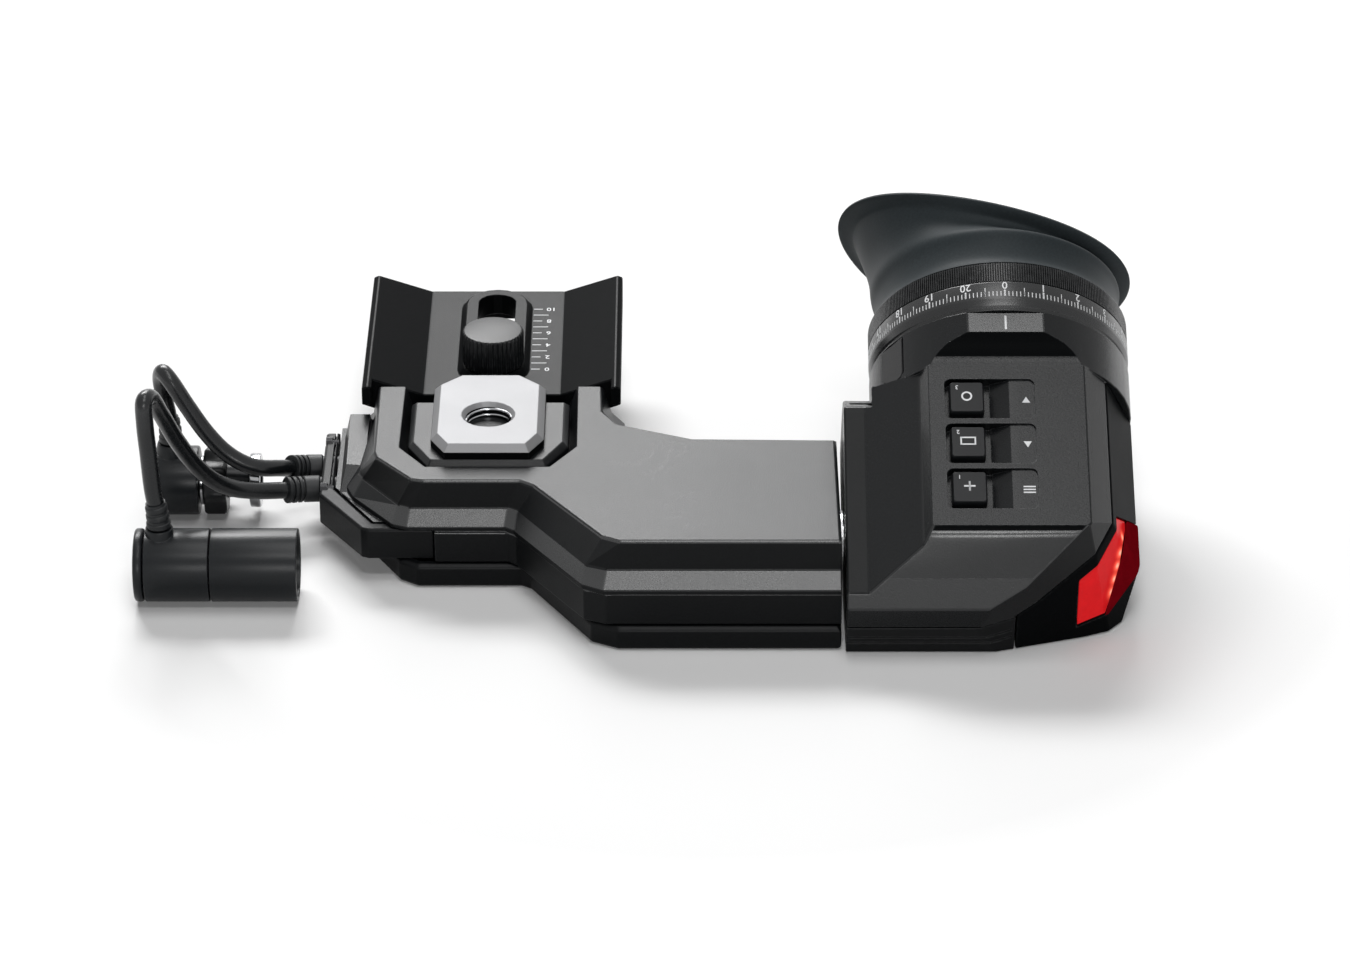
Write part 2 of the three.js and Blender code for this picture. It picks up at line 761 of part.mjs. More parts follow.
function armUpperShell() {
  const top = armPoints(armTopShares);
  let shell = stack([
    [armPoints(armFootShares), coverHeight + clearance],
    [armPoints(armFootShares), recessLevel],
    [armPoints(armLowerLedgeShares), recessLevel + seam],
    [armPoints(armLowerLedgeShares), lowerLedgeLevel],
    [armPoints(armUpperLedgeShares), upperLedgeLevel],
    [top, armHeight - edgeBevel],
    [inset(top, edgeBevel), armHeight],
  ]).add(wedge()).subtract(bandRoom());
  const pocket = stack([
    [armPoints(pocketFloorShares), pocketFloorLevel],
    [armPoints(pocketTopShares), armHeight],
    [armPoints(pocketTopShares), armHeight + overrun],
  ]);
  const low = coverHeight - overrun;
  shell = shell.subtract(pocket)
    .subtract(prismZ(mainCavity(), low, mainCavityTop))
    .subtract(prismZ(armPoints(sideCavityShares), low, sideCavityTop));
  coverScrews().forEach(([x, y]) => {
    const foot = coverHeight + clearance;
    const post = screwPost(x, y, foot, sideCavityTop + clearance);
    const hole = rod(screwShankRadius + seam, low, foot + screwShankLength);
    shell = shell.add(post).subtract(turnedZ(hole, x, y, smallSides));
  });
  [rearCableY, frontCableY].forEach((y) => {
    const to = armPoints(sideCavityShares)[5][0] + overrun;
    shell = shell.subtract(turnedX(rod(reliefNeckRadius + 2 * clearance, -armSpan, to), y, cableLevel));
  });
  const earX = bracketHalfWidth + clearance;
  const earDepth = armDepth - earReach - clearance;
  [-1, 1].forEach((side) => {
    const from = clampX + side * (bracketHalfWidth - earThickness - clearance);
    const to = clampX + side * (earX + earReach);
    shell = shell.subtract(box(Math.min(from, to), Math.max(from, to), earDepth,
      armDepth + overrun, earLow - clearance, armHeight + overrun));
  });
  return shell.subtract(shaftCut(bushRadius + seam, -armEndWall - overrun, overrun));
}

function coverScrews() {
  return armPoints(coverScrewShares);
}

function armLowerCover() {
  const outline = armPoints(coverTopShares);
  let cover = stack([
    [inset(outline, coverFootBevel), 0],
    [outline, coverFootBevel],
    [outline, coverHeight - coverTopBevel],
    [inset(outline, coverTopBevel), coverHeight],
  ]);
  cover = cover.subtract(prismZ(inset(outline, coverWall), coverFloor, coverHeight + overrun));
  coverScrews().forEach(([x, y]) => {
    cover = cover.add(screwPost(x, y, coverFloor - seam, coverHeight));
    const head = rod(screwHeadRadius + seam, -overrun, screwHeadHeight + seam);
    const hole = rod(screwShankRadius + seam, -overrun, coverHeight + overrun);
    cover = cover.subtract(turnedZ(head, x, y, smallSides)).subtract(turnedZ(hole, x, y, smallSides));
  });
  return cover;
}

// A screw whose head starts at the given height and whose shank points up
function screwUp(x, y, headLow) {
  const top = headLow + screwHeadHeight;
  const profile = [
    [0, headLow], [screwHeadRadius, headLow], [screwHeadRadius, top],
    [screwShankRadius, top], [screwShankRadius, top + screwShankLength], [0, top + screwShankLength],
  ];
  const half = screwSlotWidth / 2;
  const slot = box(x - screwHeadRadius, x + screwHeadRadius, y - half, y + half,
    headLow - overrun, headLow + screwSlotWidth);
  return turnedZ(profile, x, y, smallSides).subtract(slot);
}

function sideBand() {
  let band = stack(roundEdge(bandOutline(), coverHeight + clearance, bandTop, bandTopBevel));
  const left = -armSpan;
  const groove = box(left + endPlateThickness, left + endPlateThickness + endPlateGroove,
    endFaceMiddle - endScrewSpread, armDepth, bandTop - endPlateGrooveDepth, bandTop + overrun);
  band = band.subtract(groove);
  [rearCableY, frontCableY].forEach((y) => {
    const hole = rod(reliefNeckRadius + clearance, left - overrun, left + armDepth / 4);
    band = band.subtract(turnedX(hole, y, cableLevel, smallSides));
  });
  endScrews().forEach(([y]) => {
    const notch = rod(screwHeadRadius + seam, left - overrun, left + endScrewDepth);
    const hole = rod(screwShankRadius + seam, left, left + bandWall + overrun);
    band = band.subtract(turnedX(notch, y, endScrewLevel(), smallSides))
      .subtract(turnedX(hole, y, endScrewLevel(), smallSides));
  });
  return band;
}

function endScrewLevel() {
  return bandTop - screwHeadRadius / 2;
}

function endScrews() {
  return [
    [endFaceMiddle + endScrewSpread, 'rear'],
    [endFaceMiddle - endScrewSpread, 'front'],
  ];
}

function endScrew(y) {
  const face = -armSpan + endScrewDepth - seam;
  const head = -armSpan + seam;
  const tip = -armSpan + bandWall - seam;
  return turnedX([[0, head], [screwHeadRadius, head], [screwHeadRadius, face],
    [screwShankRadius, face], [screwShankRadius, tip], [0, tip]], y, endScrewLevel(), smallSides);
}

add('arm_upper_shell', armUpperShell(), paint(charcoal, 0.62));
add('arm_lower_cover', armLowerCover(), paint(darkCoat, 0.6));
coverScrews().forEach(([x, y], i) => {
  add(`cover_screw_${i + 1}`, screwUp(x, y, seam), paint('#1b1c1e', 0.4, 0.8));
});
add('side_band', sideBand(), paint(darkCoat, 0.55));
endScrews().forEach(([y, side]) => {
  add(`end_screw_${side}`, endScrew(y), paint('#151617', 0.35, 0.8));
});

// Mount block and rear bracket
function mountBlock() {
  const outline = (trim) => inset(blockOutlineShares.map(([x, y]) => [
    clampX + x * blockWidth, blockCentreY + y * blockDepth]), trim);
  const foot = pocketFloorLevel + clearance;
  const block = stack([
    [outline(0), foot], [outline(0), blockTop - blockBevel], [outline(blockBevel), blockTop],
  ]);
  const hole = [
    [0, foot - overrun], [mountHoleRadius, foot - overrun],
    [mountHoleRadius, blockTop - mountHoleChamfer],
    [mountHoleRadius + mountHoleChamfer, blockTop],
    [mountHoleRadius + mountHoleChamfer, blockTop + overrun], [0, blockTop + overrun],
  ];
  return block.subtract(turnedZ(hole, clampX, mountHoleY));
}

function bracket() {
  const front = armDepth + clearance;
  const half = [
    [bracketFlatHalfWidth, bracketFlatLevel], [bracketHalfWidth - bracketRimWidth, bracketRimLevel],
    [bracketHalfWidth, bracketRimLevel - edgeBevel], [bracketHalfWidth, bracketSideLow],
    [bracketUnderHalfWidth, bracketUnderLevel],
  ];
  const section = [
    ...half.map(([x, z]) => [clampX + x, z]),
    ...half.map(([x, z]) => [clampX - x, z]).reverse(),
  ];
  let body = prismY(section, front, bracketRear);
  const ears = prismY(section, front - earReach, front + overrun);
  [-1, 1].forEach((side) => {
    const inner = clampX + side * (bracketHalfWidth - earThickness);
    const outer = clampX + side * (bracketHalfWidth + overrun);
    body = body.add(ears.intersect(box(Math.min(inner, outer), Math.max(inner, outer),
      front - earReach, front + overrun, earLow, bracketRimLevel + overrun)));
  });
  const rear = slotFrontY + slotTravel;
  const boss = stack([
    [obround(bossFootRadius, clampX, slotFrontY, rear), bracketFlatLevel - overrun],
    [obround(bossFootRadius, clampX, slotFrontY, rear), bracketFlatLevel],
    [obround(bossRadius, clampX, slotFrontY, rear), bracketFlatLevel + bossHeight],
  ]);
  const channel = box(clampX - channelHalfWidth, clampX + channelHalfWidth,
    slotFrontY - channelMargin, rear + channelMargin,
    bracketUnderLevel - overrun, bracketUnderLevel + channelHeight);
  const slot = prismZ(obround(slotRadius, clampX, slotFrontY, rear),
    bracketUnderLevel - overrun, bracketFlatLevel + bossHeight + overrun);
  return body.add(boss).subtract(channel).subtract(slot);
}

function clampCarriage() {
  const low = bracketUnderLevel + seam;
  const top = low + carriagePlate;
  const neckTop = bracketFlatLevel + bossHeight - clearance;
  const plate = box(clampX - carriageHalfWidth, clampX + carriageHalfWidth,
    slotFrontY - carriageHalfLength, slotFrontY + carriageHalfLength, low, top);
  const neck = turnedZ(rod(slotRadius - clearance, top - seam, neckTop), clampX, slotFrontY);
  const bore = rod(thumbShankRadius + clearance, low - overrun, neckTop + overrun);
  return plate.add(neck).subtract(turnedZ(bore, clampX, slotFrontY));
}

function thumbScrew() {
  const foot = bracketFlatLevel + bossHeight + clearance;
  const top = foot + thumbHeight;
  const outline = lobed(thumbRadius, thumbKnurlDepth, thumbKnurlCount, knurlSteps, clampX, slotFrontY);
  const head = stack([
    [inset(outline, thumbBevel), foot], [outline, foot + thumbBevel],
    [outline, top - thumbBevel], [inset(outline, thumbBevel), top],
  ]);
  const shank = rod(thumbShankRadius, bracketUnderLevel - thumbShankDrop, foot + overrun);
  return head.add(turnedZ(shank, clampX, slotFrontY, smallSides));
}

add('mount_block', mountBlock(), paint(silver, 0.32, 0.9));
add('rear_bracket', bracket(), paint(charcoal, 0.6));
add('clamp_carriage', clampCarriage(), paint(steel, 0.4, 0.9));
add('thumb_screw', thumbScrew(), paint('#1f2123', 0.5, 0.3));

// Tilt joint
function tiltShaft() {
  const hubStart = jointGap + headWall + clearance;
  const into = hubStart + shaftHeadHub;
  const gapStart = (jointGap - shaftFlangeThickness) / 2;
  const nutEnd = jointStack().nutEnd;
  const profile = [
    [shaftBore, nutEnd - shaftTail], [shaftRadius, nutEnd - shaftTail], [shaftRadius, gapStart],
    [shaftFlangeRadius, gapStart], [shaftFlangeRadius, gapStart + shaftFlangeThickness],
    [shaftRadius, gapStart + shaftFlangeThickness], [shaftRadius, hubStart],
    [shaftHubRadius, hubStart], [shaftHubRadius, into], [shaftBore, into],
    [shaftBore, nutEnd - shaftTail],
  ];
  return turnedX(profile, pivotDepth, pivotHeight);
}

// Places along the shaft, inward from the arm's end face
function jointStack() {
  const flange = -armEndWall - clearance;
  const bushEnd = flange - bushFlangeThickness;
  const frictionEnd = bushEnd - clearance - frictionThickness;
  const springEnd = frictionEnd - clearance - springThickness - springRise;
  const nutEnd = springEnd - clearance - nutThickness;
  return { flange, bushEnd, frictionEnd, springEnd, nutEnd };
}

function tiltBush() {
  const { flange, bushEnd } = jointStack();
  const bore = shaftRadius + clearance / 2;
  return turnedX([[bore, bushEnd], [bushFlangeRadius, bushEnd], [bushFlangeRadius, flange],
    [bushRadius, flange], [bushRadius, -seam], [bore, -seam], [bore, bushEnd]],
  pivotDepth, pivotHeight);
}

function frictionWasher() {
  const { bushEnd, frictionEnd } = jointStack();
  return turnedX(pipe(shaftRadius + seam, frictionRadius, frictionEnd, bushEnd - clearance),
    pivotDepth, pivotHeight);
}

function springWasher() {
  const { frictionEnd, springEnd } = jointStack();
  const bore = shaftRadius + seam;
  const wide = frictionEnd - clearance;
  return turnedX([[bore, springEnd], [bore, springEnd + springThickness],
    [frictionRadius, wide], [frictionRadius, wide - springThickness], [bore, springEnd]],
  pivotDepth, pivotHeight);
}

function shaftNut() {
  const { springEnd, nutEnd } = jointStack();
  const points = [];
  for (let i = 0; i < nutFlats; i += 1) {
    const turn = 2 * Math.PI * (i + 0.5) / nutFlats;
    points.push([pivotDepth + nutRadius * Math.cos(turn), pivotHeight + nutRadius * Math.sin(turn)]);
  }
  return prismX(points, nutEnd, springEnd - clearance)
    .subtract(shaftCut(shaftRadius + seam, nutEnd - overrun, springEnd + overrun));
}

// The joint's steel parts turn with the head, so their frame is the head's
function addTurning(name, solid, material) {
  const mesh = add(name, solid, material, headGroup);
  headGroup.updateMatrixWorld(true);
  mesh.geometry.applyMatrix4(headGroup.matrixWorld.clone().invert());
  return mesh;
}

add('tilt_bush', tiltBush(), paint(brass, 0.45, 0.9));
addTurning('tilt_shaft', tiltShaft(), paint(steel, 0.25, 1));
addTurning('friction_washer', frictionWasher(), paint('#3a3a38', 0.7));
addTurning('spring_washer', springWasher(), paint('#8f9297', 0.35, 1));
addTurning('shaft_nut', shaftNut(), paint(steel, 0.35, 1));

// Cables and their reliefs
function routeCurve(route) {
  const points = route.map(([x, y, z]) => new THREE.Vector3(x - armSpan, y + endFaceMiddle, z));
  return new THREE.CatmullRomCurve3(points, false, 'centripetal');
}

function cable(route) {
  const circle = [];
  for (let i = 0; i < cableSides; i += 1) {
    const turn = 2 * Math.PI * i / cableSides;
    circle.push(new THREE.Vector2(cableRadius * Math.cos(turn), cableRadius * Math.sin(turn)));
  }
  const path = { steps: cableSteps, extrudePath: routeCurve(route), bevelEnabled: false };
  return toSolid(new THREE.ExtrudeGeometry(new THREE.Shape(circle), path));
}

// Distance along a route's curve where a coordinate first passes a value
function distanceTo(curve, axis, value) {
  const total = curve.getLength();
  const reached = (share) => curve.getPointAt(share)[axis] - value;
  const rising = reached(1) > reached(0);
  let low = 0;
  let high = 1;
  for (let i = 0; i < searchSteps; i += 1) {
    const mid = (low + high) / 2;
    if (reached(mid) > 0 === rising) high = mid;
    else low = mid;
  }
  return low * total;
}

// A sleeve moulded round a cable: each station is a distance along the curve and a radius
function sleeveRound(curve, stations, bore) {
  const total = curve.getLength();
  const ring = ([distance, radius]) => {
    const centre = curve.getPointAt(distance / total);
    const along = curve.getTangentAt(distance / total);
    const across = new THREE.Vector3(0, 1, 0).cross(along).normalize();
    const other = along.clone().cross(across);
    return Array.from({ length: smallSides }, (_, i) => {
      const turn = 2 * Math.PI * i / smallSides;
      return centre.clone().addScaledVector(across, radius * Math.cos(turn))
        .addScaledVector(other, radius * Math.sin(turn));
    });
  };
  const [first, last] = [stations[0][0], stations[stations.length - 1][0]];
  const inside = Array.from({ length: boreSteps + 1 },
    (_, i) => [last + (first - last) * i / boreSteps, bore]);
  return skin([...stations, ...inside].map(ring), true);
}

function ribbed(from, pitch, count, radius, depth) {
  const stations = [];
  for (let i = 0; i < count; i += 1) {
    const at = from + i * pitch;
    stations.push([at, radius - depth], [at + pitch * ribGrooveShare, radius - depth]);
    stations.push([at + pitch * ribRiseShare, radius], [at + pitch * ribEndShare, radius]);
  }
  return stations;
}

// Relief at the arm: a neck in the end wall, a collar, then ribs
function armRelief(route) {
  const curve = routeCurve(route);
  const face = distanceTo(curve, 'x', -armSpan - clearance);
  const ribsFrom = face + reliefLength - reliefRibs * reliefRibPitch;
  const stations = [
    [face - bandWall - reliefNeck, reliefNeckRadius], [face, reliefNeckRadius],
    [face + seam, reliefRadius], [ribsFrom, reliefRadius],
    ...ribbed(ribsFrom, reliefRibPitch, reliefRibs, reliefRadius, reliefRibDepth),
  ];
  return sleeveRound(curve, stations, cableRadius + cableBoreGap);
}

// Relief on a plug's boss, from its free end down to the boss
function plugRelief(route, bossTop) {
  const curve = routeCurve(route);
  const foot = curve.getLength() - (bossTop - route[route.length - 1][2]) - clearance;
  const pitch = plugReliefRise / reliefRibs;
  const taper = (plugReliefFootRadius - plugReliefTopRadius) / reliefRibs;
  const stations = [];
  for (let i = 0; i < reliefRibs; i += 1) {
    const from = foot - plugReliefRise + i * pitch;
    stations.push(...ribbed(from, pitch, 1, plugReliefTopRadius + taper * i, plugReliefRibDepth));
  }
  stations.push([foot, plugReliefFootRadius]);
  return sleeveRound(curve, stations, cableRadius + cableBoreGap);
}

add('rear_cable_relief', armRelief(rearRoute), paint(rubberGrey, 0.75));
add('front_cable_relief', armRelief(frontRoute), paint(rubberGrey, 0.75));
add('power_cable', cable(frontRoute), paint('#303336', 0.55));
add('video_cable', cable(rearRoute), paint('#303336', 0.55));

// Four-pin power plug
const xlrLeft = -armSpan - xlrFromEnd;
const xlrLevel = xlrRadius;

function xlrEndCap() {
  const bevel = xlrCapLength / 3;
  return turnedX([[0, xlrLeft], [xlrRadius - bevel, xlrLeft], [xlrRadius, xlrLeft + bevel],
    [xlrRadius, xlrLeft + xlrCapLength], [0, xlrLeft + xlrCapLength]], xlrY, xlrLevel);
}

function xlrBody() {
  const from = xlrLeft + xlrCapLength + clearance;
  const to = xlrLeft + xlrBodyLength;
  const x = xlrLeft + xlrBossX;
  const top = xlrLevel + xlrRadius + xlrBossRise;
  const barrel = turnedX([[0, from], [xlrRadius - xlrGroove, from],
    [xlrRadius, from + xlrGroove], [xlrRadius, to - xlrGroove],
    [xlrRadius - xlrGroove, to], [0, to]], xlrY, xlrLevel);
  const boss = turnedZ([[0, xlrLevel], [xlrBossRadius, xlrLevel],
    [xlrBossRadius, xlrLevel + xlrRadius - xlrBossRise], [xlrBossTopRadius, top], [0, top]], x, xlrY);
  const bore = rod(cableRadius + cableBoreGap, xlrLevel, top + overrun);
  return barrel.add(boss).subtract(turnedZ(bore, x, xlrY, smallSides));
}

function xlrSleeve() {
  const from = xlrLeft + xlrBodyLength + clearance;
  const to = from + xlrSleeveLength;
  const mouth = xlrRadius - xlrSleeveWall;
  const sleeve = turnedX([[0, from], [xlrRadius - xlrGroove, from], [xlrRadius, from + xlrGroove],
    [xlrRadius, to - xlrGroove], [xlrRadius - xlrGroove, to], [mouth, to],
    [mouth, to - xlrMouthDepth], [0, to - xlrMouthDepth]], xlrY, xlrLevel);
  const half = xlrSleeveWall;
  const notch = box(to - xlrSleeveWall * 3, to + overrun, xlrY - half, xlrY + half,
    0 - overrun, xlrLevel - mouth + overrun);
  let body = sleeve.subtract(notch);
  xlrPins().forEach(([y, z]) => {
    const hole = rod(xlrPinRadius + seam, to - xlrMouthDepth - xlrPinLength / 3, to);
    body = body.subtract(turnedX(hole, y, z, boreSides));
  });
  return body;
}

function xlrPins() {
  const places = [];
  for (let i = 0; i < xlrPinCount; i += 1) {
    const turn = Math.PI * (0.25 + i / 2);
    places.push([xlrY + xlrPinCircle * Math.cos(turn), xlrLevel + xlrPinCircle * Math.sin(turn)]);
  }
  return places;
}

function xlrPin([y, z]) {
  const floor = xlrLeft + xlrBodyLength + clearance + xlrSleeveLength - xlrMouthDepth;
  const from = floor - xlrPinLength / 3 + seam;
  const to = from + xlrPinLength;
  const tip = xlrPinRadius / 2;
  return turnedX([[0, from], [xlrPinRadius, from], [xlrPinRadius, to - tip],
    [tip, to], [0, to]], y, z, boreSides);
}

add('xlr_end_cap', xlrEndCap(), paint(darkCoat, 0.6));
add('xlr_body', xlrBody(), paint(darkCoat, 0.6));
add('xlr_sleeve', xlrSleeve(), paint('#26282a', 0.42, 0.4));
xlrPins().forEach((place, i) => add(`xlr_pin_${i + 1}`, xlrPin(place), paint('#c8b06a', 0.3, 1)));
add('xlr_relief', plugRelief(frontRoute, xlrLevel + xlrRadius + xlrBossRise),
  paint(rubberGrey, 0.7));

// Bayonet video plug
const bncLeft = -armSpan - bncFromEnd;
const bncLevel = bncGripRadius;

function bncBody() {
  const to = bncLeft + bncHousingLength;
  const x = bncLeft + bncBossX;
  const top = bncLevel + bncHousingRadius + bncBossRise;
  const bevel = bncCollarLength / 2;
  const nose = to + bncCollarLength + bncGripLength + bncTubeLength;
  const barrel = turnedX([[0, bncLeft], [bncHousingRadius - bevel, bncLeft],
    [bncHousingRadius, bncLeft + bevel], [bncHousingRadius, to - bevel],
    [bncHousingRadius - bevel, to], [bncTubeRadius, to], [bncTubeRadius, nose],
    [bncTubeRadius - bncTubeWall, nose], [bncTubeRadius - bncTubeWall, nose - bncSocketDepth],
    [0, nose - bncSocketDepth]], bncY, bncLevel);
  const boss = turnedZ([[0, bncLevel], [bncBossRadius, bncLevel],
    [bncBossRadius, bncLevel + bncHousingRadius - bncBossRise],
    [xlrBossTopRadius, top], [0, top]], x, bncY);
  const bore = rod(cableRadius + cableBoreGap, bncLevel + cableRadius, top + overrun);
  const floor = nose - bncSocketDepth;
  const pin = rod(bncPinRadius, floor - overrun, floor + bncPinLength);
  return barrel.add(boss).subtract(turnedZ(bore, x, bncY, smallSides))
    .add(turnedX(pin, bncY, bncLevel, boreSides));
}

function bncCollar() {
  const from = bncLeft + bncHousingLength + clearance;
  return turnedX(pipe(bncTubeRadius + clearance, bncCollarRadius, from,
    from + bncCollarLength - clearance), bncY, bncLevel, collarSides);
}

function bncGrip() {
  const from = bncLeft + bncHousingLength + bncCollarLength + clearance;
  const points = lobed(bncGripRadius, bncGripLobe, bncGripLobes, lobeSteps)
    .map(([y, z]) => [bncY + y, bncLevel + z]);
  return prismX(points, from, from + bncGripLength)
    .subtract(turnedX(rod(bncTubeRadius + clearance, from - overrun, from + bncGripLength + overrun),
      bncY, bncLevel));
}

function bncRing() {
  const nose = bncLeft + bncHousingLength + bncCollarLength + bncGripLength + bncTubeLength;
  return turnedX(pipe(bncTubeRadius + clearance, bncRingRadius, nose - bncRingLength, nose),
    bncY, bncLevel, collarSides);
}

add('bnc_body', bncBody(), paint(darkCoat, 0.6));
add('bnc_collar', bncCollar(), paint(steel, 0.25, 1));
add('bnc_grip', bncGrip(), paint('#1d1f21', 0.5));
add('bnc_lock_ring', bncRing(), paint(steel, 0.22, 1));
add('bnc_relief', plugRelief(rearRoute, bncLevel + bncHousingRadius + bncBossRise),
  paint(rubberGrey, 0.7));

// Viewfinder head
const neckLeft = -(axisFromJoint - jointGap);

function trimmed(solid, point, way, depth = 0) {
  const out = new THREE.Vector3(...way).normalize();
  const offset = out.dot(new THREE.Vector3(...point)) - depth;
  return solid.trimByPlane([-out.x, -out.y, -out.z], -offset);
}

// A face that holds a line across the head, given by two places in Y and Z
function crossFace([ay, az], [by, bz]) {
  return [[0, ay, az], [0, bz - az, ay - by]];
}

// A face that runs along the head, given by two places in X and Z
function longFace([ax, az], [bx, bz]) {
  return [[ax, 0, az], [az - bz, 0, bx - ax]];
}

function headPoint([x, y, z]) {
  return [x * rimFront, y * rimFront, z * plateLevel];
}

function headFaces() {
  return [
    longFace([plateHalfWidth, plateLevel], [rightFacetX, rightFacetLevel]),
    longFace([rightFacetX, rightFacetLevel], [ringRadius, 0]),
    crossFace([-plateFront, plateLevel], [-slopeFoot, slopeFootLevel]),
    crossFace([-slopeFoot, slopeFootLevel], [-bandFoot, splitLevel]),
    crossFace([-bandFoot, splitLevel], [-rimFront, rimLevel]),
    crossFace([-rimFront, rimLevel], [-bellyFront, bellyLevel]),
    longFace([ringRadius, rimLevel], [rightFacetX, bellyLevel]),
    [headPoint(blackFacePointShares), blackFaceShares],
    [headPoint(lowFacePointShares), lowFaceShares],
    [headPoint(cornerFacePointShares), cornerFaceShares],
    [headPoint(sideFacePointShares), sideFaceShares],
  ];
}

// The head's body, drawn in by a depth on every face, under a ceiling
function headBlock(depth, ceiling = plateLevel - depth) {
  const blockUnder = (top) => {
    const start = box(neckLeft + depth, ringRadius - depth, -rimFront - overrun,
      -headRear - depth, bellyLevel + depth, Math.min(top - depth, ceiling));
    return headFaces().reduce((solid, [point, way]) => trimmed(solid, point, way, depth), start);
  };
  const plate = trimmed(blockUnder(plateLevel),
    ...longFace([-coveHalfWidth, coveLevel], [-plateHalfWidth, plateLevel]), depth);
  const cove = trimmed(blockUnder(coveLevel),
    ...longFace([-neckShoulder, neckLevel], [-coveHalfWidth, coveLevel]), depth);
  return plate.add(cove).add(blockUnder(neckLevel));
}

function round(profile, sides = ringSides) {
  return toSolid(turnedY(profile, sides));
}

function collar() {
  const drum = round(rod(ringRadius, -collarFront, -clearance));
  const cone = round([[0, -collarConeFront], [collarConeRadius, -collarConeFront],
    [ringRadius, -collarFront + seam], [0, -collarFront + seam]]);
  return trimmed(drum, [0, 0, facetLevel], [0, 0, 1]).add(trimmed(cone, [0, 0, 0], [0, 0, 1]));
}

function collarRoom() {
  const drum = round(rod(ringRadius + clearance, -collarFront, 0));
  const cone = round([[0, -collarConeFront - clearance],
    [collarConeRadius, -collarConeFront - clearance], [ringRadius + clearance, -collarFront],
    [0, -collarFront]]);
  return drum.add(trimmed(cone, [0, 0, clearance], [0, 0, 1]));
}

function scoop() {
  const length = collarFront + clearance - facetLength;
  const drop = facetLevel - plateLevel;
  const points = [[-facetLength, ringRadius + overrun]];
  for (let i = 0; i <= scoopSteps; i += 1) {
    const t = i / scoopSteps;
    points.push([-facetLength - length * t, facetLevel - drop * (1 - (1 - t) ** 2)]);
  }
  points.push([-facetLength - length, ringRadius + overrun]);
  return prismX(points, -ringRadius, ringRadius);
}

function chamber() {
  return headBlock(headWall, plateLevel - pocketDepth - ceilingWall);
}

function throat() {
  const front = -collarConeFront - overrun;
  return round(rod(throatRadius, front, -sleeveFront + overrun))
    .intersect(box(-ringRadius, ringRadius, front, overrun,
      bellyLevel + headWall, plateLevel - pocketDepth))
    .add(round(rod(sleeveRadius + seam, -sleeveFront, overrun)));
}

function coverRegion(grow) {
  const far = ringRadius + 2 * overrun;
  const front = -rimFront - 2 * overrun;
  const outline = [
    [sideCoverInner, -collarFront], [sideCoverInner, -sideCoverCorner],
    [sideCoverFrontX, -sideCoverFrontY], [sideCoverFrontX, front], [far, front],
    [far, -collarFront],
  ];
  const region = prismZ(inset(outline, -grow), -ringRadius, plateLevel);
  return trimmed(region, [rightFacetX, 0, rightFacetLevel], [-seamRise, 0, 1], -grow);
}

function tallyRegion(grow) {
  const far = ringRadius + 2 * overrun;
  const region = box(tallyFrontX - grow, far, -rimFront - overrun, 0,
    tallyFootLevel - grow, plateLevel);
  const under = trimmed(region, [rightFacetX, 0, rightFacetLevel - tallyDrop],
    [-seamRise, 0, 1], -grow);
  return trimmed(under, [0, -tallyRear, 0], [0, 1, tallyRearLean], -grow);
}

// The side of the tally light that holds the outer lens
function lensSide(grow) {
  const line = tallySplitShares.map(([x, y]) => [x * rimFront, y * rimFront]);
  const far = ringRadius + 2 * overrun;
  const outline = [...line, [far, line[line.length - 1][1]], [far, line[0][1]]];
  return prismZ(inset(outline, -grow), -ringRadius, plateLevel);
}

function padPlaces() {
  return Array.from({ length: keyCount }, (_, i) => -firstKeyY + i * keyPitch);
}

function padCut(y) {
  const floor = plateLevel - pocketDepth;
  const left = padCentreX - padWidth / 2;
  const right = padCentreX + padWidth / 2;
  const top = plateLevel + overrun;
  const outline = roundedBox(padCentreX, y, padWidth, padDepth, padCorner);
  const section = [
    [left - overrun, floor], [rampFoot, floor], [rampFoot + rampFootRise, floor + rampFootRise],
    [right + overrun, plateLevel - rampTopDrop], [right + overrun, top], [left - overrun, top],
  ];
  return prismZ(outline, floor - overrun, top)
    .intersect(prismY(section, y - padDepth, y + padDepth));
}

function keyFloor() {
  return plateLevel - pocketDepth;
}

function windowPlate(grow) {
  const half = sensorWindowWidth / 2 + grow;
  const top = ringRadius - edgeBevel / 4 + (grow > 0 ? overrun * 2 : 0);
  const low = ringRadius - edgeBevel / 4 - sensorWindowThickness - grow;
  const rear = -sensorWindowRear + grow;
  const front = -sensorWindowRear - sensorWindowLength - grow;
  const corner = sensorWindowWidth / 3;
  const outline = [
    [-half, rear], [half, rear], [half, front + corner / 3], [half - corner / 3, front],
    [-half + corner, front], [-half, front + corner],
  ];
  return prismZ(outline, low, top).rotate([0, 90 - sensorWindowAngle, 0]);
}

function pivotInHead() {
  const away = new THREE.Vector3(0, pivotDepth - axisDepth, pivotHeight - axisHeight);
  return away.applyAxisAngle(new THREE.Vector3(1, 0, 0), -tiltDeg * rad);
}

function headScrews() {
  const y = -bellyFront + screwPostRadius * 2;
  return [[neckLeft / 2, y], [ringRadius / 3, y]];
}

